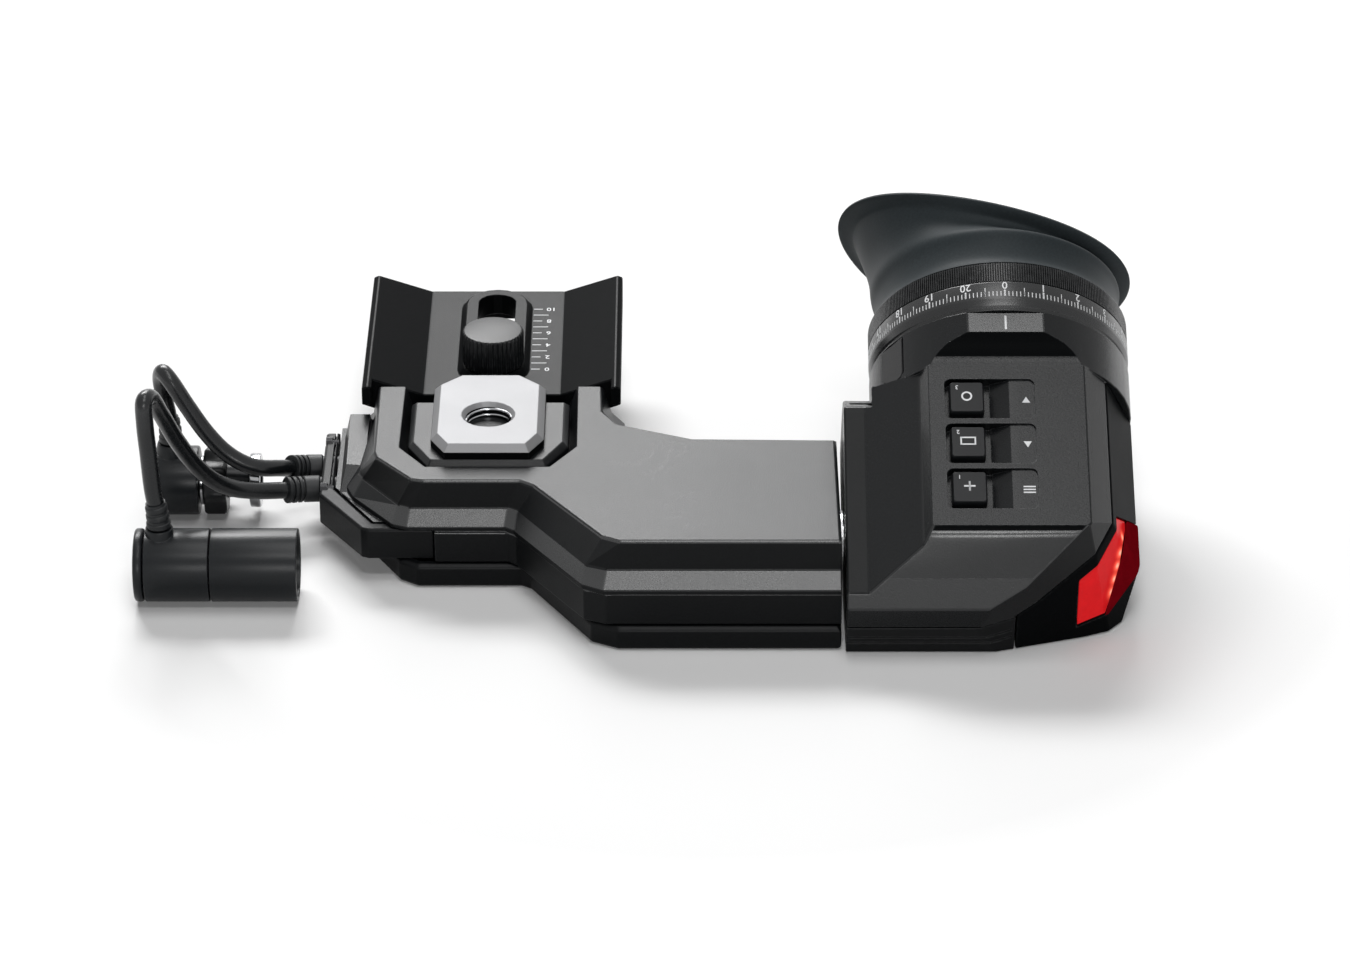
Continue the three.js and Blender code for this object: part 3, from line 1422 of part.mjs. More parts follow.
function headUpperShell() {
  const neckEnd = [-headRear - neckChamfer, neckLevel];
  const bevel = prismX([
    [neckEnd[0] - overrun, neckEnd[1] + overrun], [overrun, neckEnd[1] + overrun],
    [overrun, neckEnd[1] - neckChamfer - overrun],
    [-headRear + overrun, neckEnd[1] - neckChamfer - overrun],
  ], neckLeft - overrun, -ringRadius);
  let shell = headBlock(0).trimByPlane([0, 0, 1], splitLevel + seam).subtract(bevel);
  shell = shell.subtract(chamber()).subtract(coverRegion(seam));
  shell = shell.add(collar().subtract(chamber())).subtract(scoop()).subtract(throat());
  padPlaces().forEach((y) => {
    const hole = rod(keyStemRadius + keyStemGap, 0, plateLevel);
    shell = shell.subtract(padCut(y)).subtract(turnedZ(hole, keyX, y, smallSides));
  });
  return shell.subtract(windowPlate(seam));
}

function rimGrooves() {
  let cuts = null;
  for (let i = 0; i < 2; i += 1) {
    const z = rimGrooveStart - i * rimGroovePitch;
    const slab = box(neckLeft - overrun, sideCoverFrontX - overrun, -rimFront - overrun,
      -plateFront, z - rimGrooveWidth / 2, z + rimGrooveWidth / 2);
    cuts = cuts ? cuts.add(slab) : slab;
  }
  return cuts.subtract(headBlock(rimGrooveDepth));
}

function headLowerShell() {
  const pivot = pivotInHead();
  let shell = headBlock(0).trimByPlane([0, 0, -1], -(splitLevel - seam));
  const outside = shell;
  shell = shell.subtract(chamber());
  const postTop = mainBoardLevel - clearance;
  [mainBoardRear + boardPostMargin, mainBoardFront - boardPostMargin].forEach((y) => {
    const post = rod(boardPostRadius, bellyLevel, postTop);
    shell = shell.add(turnedZ(post, -boardPostX, -y, smallSides).intersect(outside));
  });
  headScrews().forEach(([x, y]) => {
    const foot = bellyLevel;
    const boss = rod(screwPostRadius, foot + seam, foot + headWall + screwPostHeight);
    const head = rod(screwHeadRadius + seam, foot - overrun, foot + screwHeadHeight + seam);
    const hole = rod(screwShankRadius + seam, foot, foot + headWall + screwPostHeight + overrun);
    shell = shell.add(turnedZ(boss, x, y, smallSides))
      .subtract(turnedZ(head, x, y, smallSides)).subtract(turnedZ(hole, x, y, smallSides));
  });
  const shaft = turnedX(rod(shaftRadius + clearance, neckLeft - overrun, neckLeft + headWall + overrun),
    pivot.y, pivot.z);
  return shell.subtract(shaft).subtract(coverRegion(seam)).subtract(collarRoom())
    .subtract(rimGrooves());
}

function headSideCover() {
  return headBlock(0).subtract(headBlock(headWall)).intersect(coverRegion(-seam))
    .subtract(tallyRegion(seam)).subtract(collarRoom());
}

function tallyLens() {
  return headBlock(-tallyBulge).subtract(headBlock(tallyThickness))
    .intersect(tallyRegion(-seam)).intersect(lensSide(-seam));
}

function tallyWindow() {
  return headBlock(tallyWindowInset).subtract(headBlock(tallyThickness))
    .intersect(tallyRegion(-seam)).subtract(lensSide(seam));
}

function tallyBoard() {
  const half = tallyBoardLength / 2;
  let board = box(-boardThickness, 0, -half, half, -tallyBoardLow, tallyBoardHigh);
  for (let i = 0; i < ledCount; i += 1) {
    const y = (i - (ledCount - 1) / 2) * (tallyBoardLength / ledCount);
    board = board.add(turnedX(rod(ledRadius, -seam, ledRadius), y, 0, boreSides));
  }
  return board.rotate([0, 0, tallyBoardTurn]).translate(headPoint(tallyBoardShares));
}

add('head_upper_shell', headUpperShell(), paint(charcoal, 0.6), headGroup);
add('head_lower_shell', headLowerShell(), paint('#26282a', 0.5), headGroup);
add('head_side_cover', headSideCover(), paint('#242628', 0.55), headGroup);
add('tally_lens', tallyLens(), paint('#8e0f14', 0.25), headGroup);
add('tally_window', tallyWindow(), paint('#e0201c', 0.2), headGroup);
add('tally_board', tallyBoard(), paint(boardGreen, 0.5), headGroup);
add('sensor_window', windowPlate(0), paint('#17191c', 0.15), headGroup);
headScrews().forEach(([x, y], i) => {
  add(`head_screw_${i + 1}`, screwUp(x, y, bellyLevel + seam), paint('#1b1c1e', 0.4, 0.8), headGroup);
});

// Keys and the boards under them
function keyCap(y) {
  const low = keyFloor() + keyLift;
  const top = plateLevel + keyRise;
  const outline = roundedBox(keyX, y, keyWidth, keyDepth, keyBevel, 2);
  const stem = rod(keyStemRadius, low - keyStemLength, low + seam);
  return stack([[outline, low], [outline, top - keyBevel], [inset(outline, keyBevel / 2), top]])
    .add(turnedZ(stem, keyX, y, stemSides));
}

function keyBoardTop() {
  return keyFloor() + keyLift - keyStemLength - domeGap - domeHeight;
}

function keyBoard() {
  const top = keyBoardTop();
  const places = padPlaces();
  const [front, rear] = [places[0], places[keyCount - 1]];
  let board = box(keyX - keyWidth / 2, keyX + keyWidth / 2, front - keyPitch / 2,
    rear + keyPitch / 2, top - boardThickness, top);
  places.forEach((y) => {
    board = board.add(turnedZ(rod(domeRadius, top - seam, top + domeHeight), keyX, y, stemSides));
  });
  const ceiling = plateLevel - pocketDepth - ceilingWall - clearance;
  [front + keyPitch / 2, rear - keyPitch / 2].forEach((y) => {
    board = board.add(turnedZ(rod(keyStemRadius, top - seam, ceiling), keyX, y, boreSides));
  });
  return board;
}

function mainBoard() {
  const low = mainBoardLevel;
  const board = box(-mainBoardLeft, -mainBoardRight, -mainBoardFront, -mainBoardRear,
    low, low + boardThickness);
  const x = -(mainBoardLeft + mainBoardRight) / 2;
  const y = -(mainBoardFront + mainBoardRear) / 2;
  const chip = box(x - chipSize / 2, x + chipSize / 2, y - chipSize / 2, y + chipSize / 2,
    low + boardThickness - seam, low + boardThickness + chipHeight);
  return board.add(chip);
}

padPlaces().forEach((y, i) => {
  add(`key_${i + 1}`, keyCap(y), paint('#3a3e41', 0.5), headGroup);
});
add('key_board', keyBoard(), paint(boardGreen, 0.5), headGroup);
add('main_board', mainBoard(), paint(boardGreen, 0.5), headGroup);

// Display and lens stack
function displayFrame() {
  const rear = -displayY + displayFrameThickness;
  const front = -displayY - displayThickness - clearance * 2;
  const halfX = displayWidth / 2;
  const halfZ = displayHeight / 2;
  const low = bellyLevel + headWall + clearance;
  const frame = box(-halfX - displayFrameMargin, halfX + displayFrameMargin, front, rear,
    low, halfZ + displayFrameMargin);
  const pocket = box(-halfX - clearance, halfX + clearance, front - overrun, -displayY,
    -halfZ - clearance, halfZ + clearance);
  const light = box(-halfX + displayLip, halfX - displayLip, -displayY - overrun, rear + overrun,
    -halfZ + displayLip, halfZ - displayLip);
  return frame.subtract(pocket).subtract(light);
}

function displayPanel() {
  const rear = -displayY - clearance;
  return box(-displayWidth / 2, displayWidth / 2, rear - displayThickness, rear,
    -displayHeight / 2, displayHeight / 2);
}

function lens(front, thickness, bulge) {
  const profile = [];
  for (let i = 0; i <= lensSteps; i += 1) {
    const share = i / lensSteps;
    profile.push([lensRadius * share, front - bulge * (1 - share * share)]);
  }
  for (let i = lensSteps; i >= 0; i -= 1) {
    const share = i / lensSteps;
    profile.push([lensRadius * share, front + thickness + bulge * (1 - share * share)]);
  }
  return round(profile, roundSides);
}

function lensPlaces() {
  const field = -cellFront + cellLip + clearance;
  const mid = field + fieldLensThickness + fieldLensBulge + midLensBulge + lensSpace;
  const eye = mid + midLensThickness + midLensBulge + eyeLensBulge + lensSpace;
  return { field, mid, eye };
}

function lensCell() {
  const front = -cellFront;
  const lip = front + cellLip;
  return round([[cellBore - cellLip, front], [cellRadius, front], [cellRadius, cellRear],
    [cellBore, cellRear], [cellBore, lip], [cellBore - cellLip, lip], [cellBore - cellLip, front]],
  roundSides + smallSides);
}

function retainer() {
  const swell = eyeLensBulge * (1 - (retainerBore / lensRadius) ** 2);
  const from = lensPlaces().eye + eyeLensThickness + swell + clearance;
  return round(pipe(retainerBore, cellBore - clearance, from, from + retainerLength), roundSides);
}

function lensSleeve() {
  return round(pipe(sleeveBore, sleeveRadius, -sleeveFront + seam, sleeveRear));
}

function focusRing() {
  const inner = sleeveRadius + clearance;
  const knurlFrom = dialLength + knurlGroove;
  const knurlTo = ringLength - knurlGroove;
  const root = ringRadius - knurlDepth;
  const core = round([[inner, 0], [ringRadius - ringBevelDepth, 0], [ringRadius, ringBevel],
    [ringRadius, dialLength], [root, dialLength], [root, ringLength - knurlGroove],
    [root - knurlGroove, ringLength], [inner, ringLength], [inner, 0]]);
  const outline = lobed(ringRadius, knurlDepth + knurlOverlap, knurlCount, knurlSteps);
  const knurl = prismY(outline, knurlFrom, knurlTo)
    .subtract(round(rod(inner + overrun, 0, ringLength)));
  return core.add(knurl);
}

function eyecupRing() {
  return round(pipe(sleeveRadius + clearance, eyeRingRadius, ringLength + clearance, eyeRingRear));
}

function cupRing([wide, tall, shift, rise, tilt, dip]) {
  const points = [];
  for (let i = 0; i < cupSides; i += 1) {
    const turn = 2 * Math.PI * i / cupSides;
    const height = rise - tilt * Math.cos(turn) - dip * Math.sin(turn) ** 2;
    points.push(new THREE.Vector3(
      cupLobeX * shift + cupRadius * wide * Math.cos(turn),
      cupBase + cupReach * height,
      cupRadius * tall * Math.sin(turn),
    ));
  }
  return points;
}

function eyecup() {
  return skin([...cupOuterShares, ...cupInnerShares].map(cupRing), true);
}

const glass = paint('#20262e', 0.05);
add('display_frame', displayFrame(), paint('#1b1c1e', 0.6), headGroup);
add('display_panel', displayPanel(), paint('#0c0e12', 0.15), headGroup);
add('lens_sleeve', lensSleeve(), paint('#1c1d1f', 0.45, 0.6), headGroup);
add('focus_ring', focusRing(), paint('#232527', 0.45, 0.4), headGroup);
add('lens_cell', lensCell(), paint('#141516', 0.55), headGroup);
add('field_lens', lens(lensPlaces().field, fieldLensThickness, fieldLensBulge), glass, headGroup);
add('middle_lens', lens(lensPlaces().mid, midLensThickness, midLensBulge), glass, headGroup);
add('eye_lens', lens(lensPlaces().eye, eyeLensThickness, eyeLensBulge), glass, headGroup);
add('lens_retainer', retainer(), paint('#141516', 0.5), headGroup);
add('eyecup_ring', eyecupRing(), paint('#1b1c1e', 0.5), headGroup);
add('eyecup', eyecup(), paint(rubberGrey, 0.85), headGroup);

// The group's origin is the middle of the viewfinder's foot, its cables left out
const hanging = ['power_cable', 'video_cable', 'xlr_', 'bnc_'];
const reach = new THREE.Box3();
viewfinder.updateMatrixWorld(true);
viewfinder.traverse((node) => {
  if (node.isMesh && !hanging.some((start) => node.name.startsWith(start))) {
    reach.expandByObject(node, true);
  }
});
const foot = reach.getCenter(new THREE.Vector3());
foot.z = reach.min.z;
viewfinder.children.forEach((group) => group.position.sub(foot));

export default viewfinder;
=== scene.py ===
# %% [markdown]
# # Electronic viewfinder on its mounting arm
#
# The imported CAD part gives every size, place and moving body. This lesson dresses it: softer
# edges, real knurls and dials, a rubber eyecup, two cables, and a finish for each material.
# The first cell loads the part as a fixed frame.

# %% Load the frame
import math

import bmesh
import bpy
from mathutils import Matrix, Vector


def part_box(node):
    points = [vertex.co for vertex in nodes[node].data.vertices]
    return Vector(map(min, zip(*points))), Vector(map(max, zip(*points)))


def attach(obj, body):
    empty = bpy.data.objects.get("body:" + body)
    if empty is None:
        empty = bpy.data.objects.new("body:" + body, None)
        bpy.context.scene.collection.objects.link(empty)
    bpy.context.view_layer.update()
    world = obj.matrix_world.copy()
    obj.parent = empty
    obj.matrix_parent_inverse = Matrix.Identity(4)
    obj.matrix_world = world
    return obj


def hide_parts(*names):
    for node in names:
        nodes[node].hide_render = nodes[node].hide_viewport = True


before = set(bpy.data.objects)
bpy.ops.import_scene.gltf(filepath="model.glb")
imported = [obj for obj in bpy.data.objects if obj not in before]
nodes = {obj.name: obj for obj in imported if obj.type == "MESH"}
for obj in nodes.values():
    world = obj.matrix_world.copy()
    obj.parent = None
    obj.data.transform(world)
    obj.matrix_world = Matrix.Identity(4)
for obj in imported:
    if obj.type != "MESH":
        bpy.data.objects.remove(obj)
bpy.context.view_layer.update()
scene = bpy.context.scene

# %% [markdown]
# ## Two working frames
#
# Shapes are drawn in millimetres, in the frame of the arm or of the tilted head, and then moved
# to the row frame in metres. The arm's frame has X = 0 at the tilt joint. The head's frame has Y
# along the optical axis and starts where the focus ring starts, tilted by 30 degrees.

# %% Working frames
MM = 0.001
JOINT_END = Vector((34.1669, -74.0848, 0))
AXIS_PLACE = Vector((42.5, 68.4, 42.1))
TILT = math.radians(30)
ARM = Matrix.Translation(JOINT_END * MM) @ Matrix.Scale(MM, 4)
HEAD = Matrix.Translation((JOINT_END + AXIS_PLACE) * MM) @ Matrix.Rotation(TILT, 4, "X") @ Matrix.Scale(MM, 4)
block_low, block_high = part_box("mount_block")
print("block centre in the arm's frame, mm", ARM.inverted() @ ((block_low + block_high) / 2))

# %% [markdown]
# ## Camera, floor and light
#
# The photograph looks down at the part by about 29 degrees through a long lens, from 1.4 metres.
# The floor and the world show white to the camera, to mirrors and to glass through the Light
# Path node, while the floor still takes the part's soft shadow. Black paint shows little but the
# lamps it mirrors, so lamps stand where one family of faces reflects them: low behind for the
# level tops, overhead for the tilted head and the arm's ledge, low in front for the head's slope,
# and a small one above it for the slope's crest. The lamp behind is narrow, which leaves the
# bracket's wings dark. Two more stand high behind and cast the soft shadow forward. Besides the
# lamps, the ledge, the slope and its crest take glossier copies of the coat as painted highlight,
# and the wings a duller satin as painted shade.

# %% Camera
LOOK_DOWN = math.radians(28.6)
CAMERA_PLACE = (-0.008133, -1.214721, 0.672033)
FOCAL_LENGTH, SENSOR_WIDTH = 138.667, 36
camera_data = bpy.data.cameras.new("camera")
camera_data.sensor_width = SENSOR_WIDTH
camera_data.lens = FOCAL_LENGTH
camera_data.clip_end = 20
camera = bpy.data.objects.new("camera", camera_data)
camera.location = CAMERA_PLACE
camera.rotation_euler = (math.radians(90) - LOOK_DOWN, 0, 0)
scene.collection.objects.link(camera)
scene.camera = camera
scene.view_settings.view_transform = "Standard"
print("camera", tuple(round(v, 3) for v in camera.location))


# %% Node helpers
def nodes_of(tree):
    """The tree's maker: adds a node and sets its inputs."""

    def add(kind, inputs=None, **settings):
        node = tree.nodes.new(kind)
        for name, value in settings.items():
            setattr(node, name, value)
        for name, value in (inputs or {}).items():
            if isinstance(value, bpy.types.NodeSocket):
                tree.links.new(value, node.inputs[name])
            else:
                node.inputs[name].default_value = value
        return node

    return add


def maths(add, operation, *values, **settings):
    """A number node that works on its values, as its output."""
    return add("ShaderNodeMath", dict(enumerate(values)), operation=operation, **settings).outputs[0]


def ranged(add, value, low, high, to_low=0, to_high=1):
    """A number moved from one range to another, as an output."""
    inputs = {"Value": value, "From Min": low, "From Max": high, "To Min": to_low, "To Max": to_high}
    return add("ShaderNodeMapRange", inputs).outputs[0]


def white_ray(add):
    """1 for a ray from the camera, a mirror or glass, and 0 for the light that falls on things."""
    path = add("ShaderNodeLightPath").outputs
    either = maths(add, "MAXIMUM", path["Is Camera Ray"], path["Is Glossy Ray"])
    return maths(add, "MAXIMUM", either, path["Is Transmission Ray"])


def scaled(add, colour, factor):
    """A colour made lighter or darker, as an output."""
    return add("ShaderNodeVectorMath", {0: colour, "Scale": factor}, operation="SCALE").outputs[0]


def empty_tree(owner):
    """The maker of a material's or a world's own tree, emptied first."""
    owner.use_nodes = True
    owner.node_tree.nodes.clear()
    return nodes_of(owner.node_tree)


def new_material(name):
    """An empty material, the maker of its tree, and its coordinates in metres."""
    material = bpy.data.materials.new(name)
    add = empty_tree(material)
    return material, add, add("ShaderNodeTexCoord").outputs["Object"]


# %% Floor and world
FLOOR_TONE = 0.8
FLOOR_GLOW = 0.07
GLOW_STARTS, GLOW_FULL = 0.17, 0.42
WORLD_LIGHT = 0.03
FLOOR_HALF = 6
FLOOR_LEVEL = -0.0002

floor_paint = bpy.data.materials.new("floor_paint")
add = empty_tree(floor_paint)
diffuse = add("ShaderNodeBsdfDiffuse", {"Color": (FLOOR_TONE, FLOOR_TONE, FLOOR_TONE, 1)})
reach = add("ShaderNodeVectorMath", {0: add("ShaderNodeTexCoord").outputs["Object"]}, operation="LENGTH")
fade = ranged(add, reach.outputs["Value"], GLOW_STARTS, GLOW_FULL, FLOOR_GLOW, 1)
glow = add("ShaderNodeEmission", {"Strength": maths(add, "MULTIPLY", white_ray(add), fade)})
both = add("ShaderNodeAddShader", {0: diffuse.outputs[0], 1: glow.outputs[0]})
add("ShaderNodeOutputMaterial", {"Surface": both.outputs[0]})

floor_mesh = bpy.data.meshes.new("floor")
corners = [(x * FLOOR_HALF, y * FLOOR_HALF, FLOOR_LEVEL) for x, y in ((-1, -1), (1, -1), (1, 1), (-1, 1))]
floor_mesh.from_pydata(corners, [], [(0, 1, 2, 3)])
floor_mesh.materials.append(floor_paint)
floor = bpy.data.objects.new("floor", floor_mesh)
scene.collection.objects.link(floor)

world = bpy.data.worlds.new("world")
scene.world = world
add = empty_tree(world)
share = ranged(add, white_ray(add), 0, 1, WORLD_LIGHT, 1)
sky = add("ShaderNodeBackground", {"Color": (1, 1, 1, 1), "Strength": share})
add("ShaderNodeOutputWorld", {"Surface": sky.outputs[0]})
print("floor", 2 * FLOOR_HALF, "m wide, world light", WORLD_LIGHT)


# %% Soft lamps
def soft_lamp(name, place, aim, size, watts):
    """A rectangular lamp at a place, turned to face a point, sizes in metres."""
    data = bpy.data.lights.new(name, "AREA")
    data.shape = "RECTANGLE"
    data.size, data.size_y = size
    data.energy = watts
    lamp = bpy.data.objects.new(name, data)
    lamp.location = place
    lamp.rotation_euler = (Vector(aim) - Vector(place)).to_track_quat("-Z", "Y").to_euler()
    scene.collection.objects.link(lamp)
    print("lamp", name, watts, "W")


soft_lamp("back_light", (-0.13, 2.7, 1.55), (-0.06, 0, 0.02), (0.75, 1.2), 20)
soft_lamp("high_light", (-0.05, 1.9, 1.9), (0, 0, 0), (0.8, 0.5), 20)
soft_lamp("shadow_light", (-0.75, 1.75, 1.75), (0, 0, 0), (0.9, 0.7), 42)
soft_lamp("top_light", (0.06, -0.14, 1.6), (0.03, 0, 0), (0.5, 0.9), 7)
soft_lamp("crest_light", (0.07, -0.98, 1.55), (0.05, 0, 0.04), (0.6, 0.3), 6)
soft_lamp("front_light", (0.1, -2.4, 0.84), (0.06, 0, 0.03), (0.8, 0.42), 12)

# %% [markdown]
# ## Shader groups
#
# The same effects return in many finishes: a fine cast or sprayed grain, slow patches left by
# handling, and edges that are rubbed a little lighter. Each is one node group with named inputs,
# placed in every material with its own values. They read Object coordinates, so a pattern keeps
# its real size in metres on every piece. The Bevel node finds edges whatever the mesh is.


# %% Shader groups
FLOAT, VECTOR = "NodeSocketFloat", "NodeSocketVector"


def shader_group(name, inputs, outputs):
    """An empty shader group with its maker, what it is given and what it makes."""
    tree = bpy.data.node_groups.new(name, "ShaderNodeTree")
    for label, kind, value in inputs:
        socket = tree.interface.new_socket(name=label, in_out="INPUT", socket_type=kind)
        if value is not None:
            socket.default_value = value
    for label in outputs:
        tree.interface.new_socket(name=label, in_out="OUTPUT", socket_type=FLOAT)
    maker = nodes_of(tree)
    return tree, maker, maker("NodeGroupInput").outputs, maker("NodeGroupOutput").inputs


grain, add, given, made = shader_group(
    "fine_grain",
    [("Place", VECTOR, None), ("Scale", FLOAT, 2600), ("Tone Spread", FLOAT, 0.25)],
    ["Tone", "Height"],
)
speck = add("ShaderNodeTexNoise", {"Vector": given["Place"], "Scale": given["Scale"],
                                   "Detail": 3, "Roughness": 0.65}).outputs[0]
low_tone = maths(add, "SUBTRACT", 1, given["Tone Spread"])
high_tone = maths(add, "ADD", 1, given["Tone Spread"])
grain.links.new(ranged(add, speck, 0.25, 0.75, low_tone, high_tone), made["Tone"])
grain.links.new(speck, made["Height"])

patches, add, given, made = shader_group(
    "handling",
    [("Place", VECTOR, None), ("Scale", FLOAT, 35), ("Rough", FLOAT, 0.5), ("Spread", FLOAT, 0.06),
     ("Speck", FLOAT, 0.5), ("Speck Spread", FLOAT, 0.12)],
    ["Roughness"],
)
cloud = add("ShaderNodeTexNoise", {"Vector": given["Place"], "Scale": given["Scale"], "Detail": 4,
                                   "Roughness": 0.6, "Distortion": 0.6})
sized = maths(add, "MULTIPLY", maths(add, "SUBTRACT", cloud.outputs[0], 0.5), given["Spread"])
even = maths(add, "ADD", sized, given["Rough"])
speck_centred = maths(add, "SUBTRACT", given["Speck"], 0.5)
rough = maths(add, "MULTIPLY_ADD", speck_centred, given["Speck Spread"], even, use_clamp=True)
patches.links.new(rough, made["Roughness"])

wear, add, given, made = shader_group(
    "edge_wear",
    [("Place", VECTOR, None), ("Width", FLOAT, 0.0005), ("Amount", FLOAT, 0.3), ("Break Up", FLOAT, 700)],
    ["Mask"],
)
softer = add("ShaderNodeBevel", {"Radius": given["Width"]}, samples=4)
normals = {0: softer.outputs[0], 1: add("ShaderNodeNewGeometry").outputs["Normal"]}
same = add("ShaderNodeVectorMath", normals, operation="DOT_PRODUCT")
edge = ranged(add, same.outputs["Value"], 0.985, 0.86)
spots = add("ShaderNodeTexNoise", {"Vector": given["Place"], "Scale": given["Break Up"], "Detail": 2})
masked = maths(add, "MULTIPLY", edge, ranged(add, spots.outputs[0], 0.35, 0.65))
wear.links.new(maths(add, "MULTIPLY", masked, given["Amount"], use_clamp=True), made["Mask"])
print("shader groups", [g.name for g in (grain, patches, wear)])


# %% [markdown]
# ## Finishes
#
# One maker mixes the groups into a Principled material. The powder coat of the arm and head has
# a fine grain and a low specular level: faces seen from above pick up the light from behind, and
# faces seen straight on stay nearly black. Rubber is rougher with a soft sheen, the block is
# blasted aluminium, and the video plug's small rings are polished nickel.


# %% Maker of finishes
EDGE_GREY = (0.16, 0.165, 0.17)
ROUGH_SPREAD = 0.08
GRAIN_HEIGHT = 0.0001


def finish(name, colour, roughness, grain_size, grain_depth, tone_spread, worn_share=0.0, shine=0.5,
           worn=EDGE_GREY, stretch=None, **fixed):
    """A Principled material with grain, handling patches and worn edges. fixed sets other sockets."""
    material, add, place = new_material(name)
    if stretch:
        place = add("ShaderNodeMapping", {"Vector": place, "Scale": stretch}).outputs[0]
    grains = add("ShaderNodeGroup", {"Place": place, "Scale": grain_size, "Tone Spread": tone_spread},
                 node_tree=grain)
    handled = add("ShaderNodeGroup", {"Place": place, "Rough": roughness, "Spread": ROUGH_SPREAD,
                                      "Speck": grains.outputs["Height"]}, node_tree=patches)
    shown = scaled(add, colour, grains.outputs["Tone"])
    if worn_share:
        edges = add("ShaderNodeGroup", {"Place": place, "Amount": worn_share}, node_tree=wear)
        mix = add("ShaderNodeMix", {"Factor": edges.outputs["Mask"], "A": shown, "B": (*worn, 1)},
                  data_type="RGBA")
        shown = mix.outputs["Result"]
    bump = add("ShaderNodeBump", {"Strength": grain_depth, "Distance": GRAIN_HEIGHT,
                                  "Height": grains.outputs["Height"]})
    shader = add("ShaderNodeBsdfPrincipled", {
        "Base Color": shown, "Roughness": handled.outputs["Roughness"], "Normal": bump.outputs[0],
        "Specular IOR Level": shine, **{label.replace("_", " "): value for label, value in fixed.items()},
    })
    add("ShaderNodeOutputMaterial", {"Surface": shader.outputs[0]})
    return material


# %% Finishes
PAINT_BLACK = (0.005, 0.0057, 0.0064)
SATIN_BLACK = (0.004, 0.0045, 0.005)
PLASTIC_BLACK = (0.006, 0.0066, 0.0074)
coat = finish("powder_coat", PAINT_BLACK, 0.3, 2600, 0.4, 0.4, 0.35, 0.17)
bracket_coat = finish("bracket_coat", SATIN_BLACK, 0.33, 2600, 0.5, 0.4, 0.35, 0.06)
head_coat = finish("head_coat", PAINT_BLACK, 0.25, 2600, 0.4, 0.3, 0.35, 0.19)
# The two dark satins below are the duller parts' own finish and are also laid on chosen faces as painted
# shade; the two glossier copies of the coat after them serve only as painted highlight on chosen faces.
satin_and_shade = finish("dark_satin_and_shade", SATIN_BLACK, 0.36, 2200, 0.3, 0.25, 0.35, 0.1)
deep_satin_and_shade = finish("deep_satin_and_shade", (0.003, 0.0034, 0.0038), 0.4, 2200, 0.3, 0.25, 0.3, 0.012)
slope_highlight_coat = finish("slope_highlight_coat", PAINT_BLACK, 0.3, 2600, 0.3, 0.3, 0.35, 0.38)
highlight_coat = finish("painted_highlight_coat", (0.006, 0.0068, 0.0075), 0.28, 2600, 0.22, 0.2, 0.35, 0.65)
plug_paint = finish("plug_paint", (0.009, 0.0105, 0.012), 0.3, 2600, 0.2, 0.2, 0.3, 0.18)
key_paint = finish("key_plastic", PLASTIC_BLACK, 0.38, 2400, 0.14, 0.18, 0.1, 0.15)
anodised = finish("black_anodised", PLASTIC_BLACK, 0.28, 2600, 0.14, 0.25, 0.2, 0.42)
rubber = finish("eyecup_rubber", (0.024, 0.03, 0.033), 0.5, 1500, 0.2, 0.15, shine=0.07,
                Sheen_Weight=0.06, Sheen_Roughness=0.5)
jacket = finish("cable_jacket", (0.006, 0.007, 0.008), 0.26, 2600, 0.08, 0.12, shine=0.34)
relief_rubber = finish("relief_rubber", (0.007, 0.008, 0.009), 0.5, 2600, 0.14, 0.14, shine=0.3)
blasted = finish("blasted_aluminium", (0.19, 0.191, 0.196), 0.5, 3600, 0.12, 0.06, 0.3, worn=(0.5, 0.5, 0.5),
                 Metallic=0.5)
steel = finish("turned_steel", (0.55, 0.55, 0.56), 0.24, 900, 0.1, 0.08, stretch=(6, 1, 1), Metallic=1.0)
polished = finish("polished_nickel", (0.34, 0.345, 0.355), 0.12, 1200, 0.05, 0.05, Metallic=1.0)
bronze = finish("bush_bronze", (0.42, 0.28, 0.12), 0.35, 1400, 0.1, 0.1, Metallic=1.0)
gold = finish("contact_gold", (0.7, 0.5, 0.2), 0.22, 1500, 0.05, 0.05, Metallic=1.0)
black_screw = finish("blackened_screw", (0.02, 0.02, 0.022), 0.3, 2600, 0.1, 0.2, 0.4, Metallic=0.6)
board_green = finish("circuit_board", (0.01, 0.075, 0.035), 0.35, 900, 0.1, 0.4, Coat_Weight=0.3)
fibre = finish("friction_fibre", (0.06, 0.052, 0.042), 0.8, 1500, 0.4, 0.4)
smoked = finish("smoked_window", (0.006, 0.006, 0.007), 0.2, 900, 0.02, 0.1, shine=0.12)
screen_black = finish("display_glass", (0.004, 0.004, 0.006), 0.08, 900, 0.01, 0.1, Coat_Weight=0.6)
white_print = finish("white_print", (0.8, 0.81, 0.82), 0.55, 2600, 0.1, 0.05, shine=0.2)
print("finishes", len(bpy.data.materials))

# %% [markdown]
# ## Making pieces
#
# Three makers cover most of the part. A softened copy takes a CAD node, joins its triangles into
# flat faces and rounds every sharp edge, which is how die-cast and milled pieces catch the light.
# A turned shape follows an eased profile round an axis. A repeated shape is made by Geometry
# Nodes: one tree sets copies round the Y axis and another sets them in a row. All of them end as
# plain meshes at the origin, in metres.

# %% Makers of plain meshes
WELD = 2e-6
FLAT_WITHIN = math.radians(0.6)
FLATTEST, SIDE_SHARE, LENGTH_SHARE = 0.02, 0.45, 0.4


def to_object(name, bm, material, smooth=32):
    """A bmesh as an object with one finish, smooth except at edges sharper than the angle."""
    mesh = bpy.data.meshes.new(name)
    bm.to_mesh(mesh)
    bm.free()
    mesh.materials.append(material)
    mesh.polygons.foreach_set("use_smooth", [True] * len(mesh.polygons))
    mesh.set_sharp_from_angle(angle=math.radians(smooth))
    piece = bpy.data.objects.new(name, mesh)
    scene.collection.objects.link(piece)
    return piece


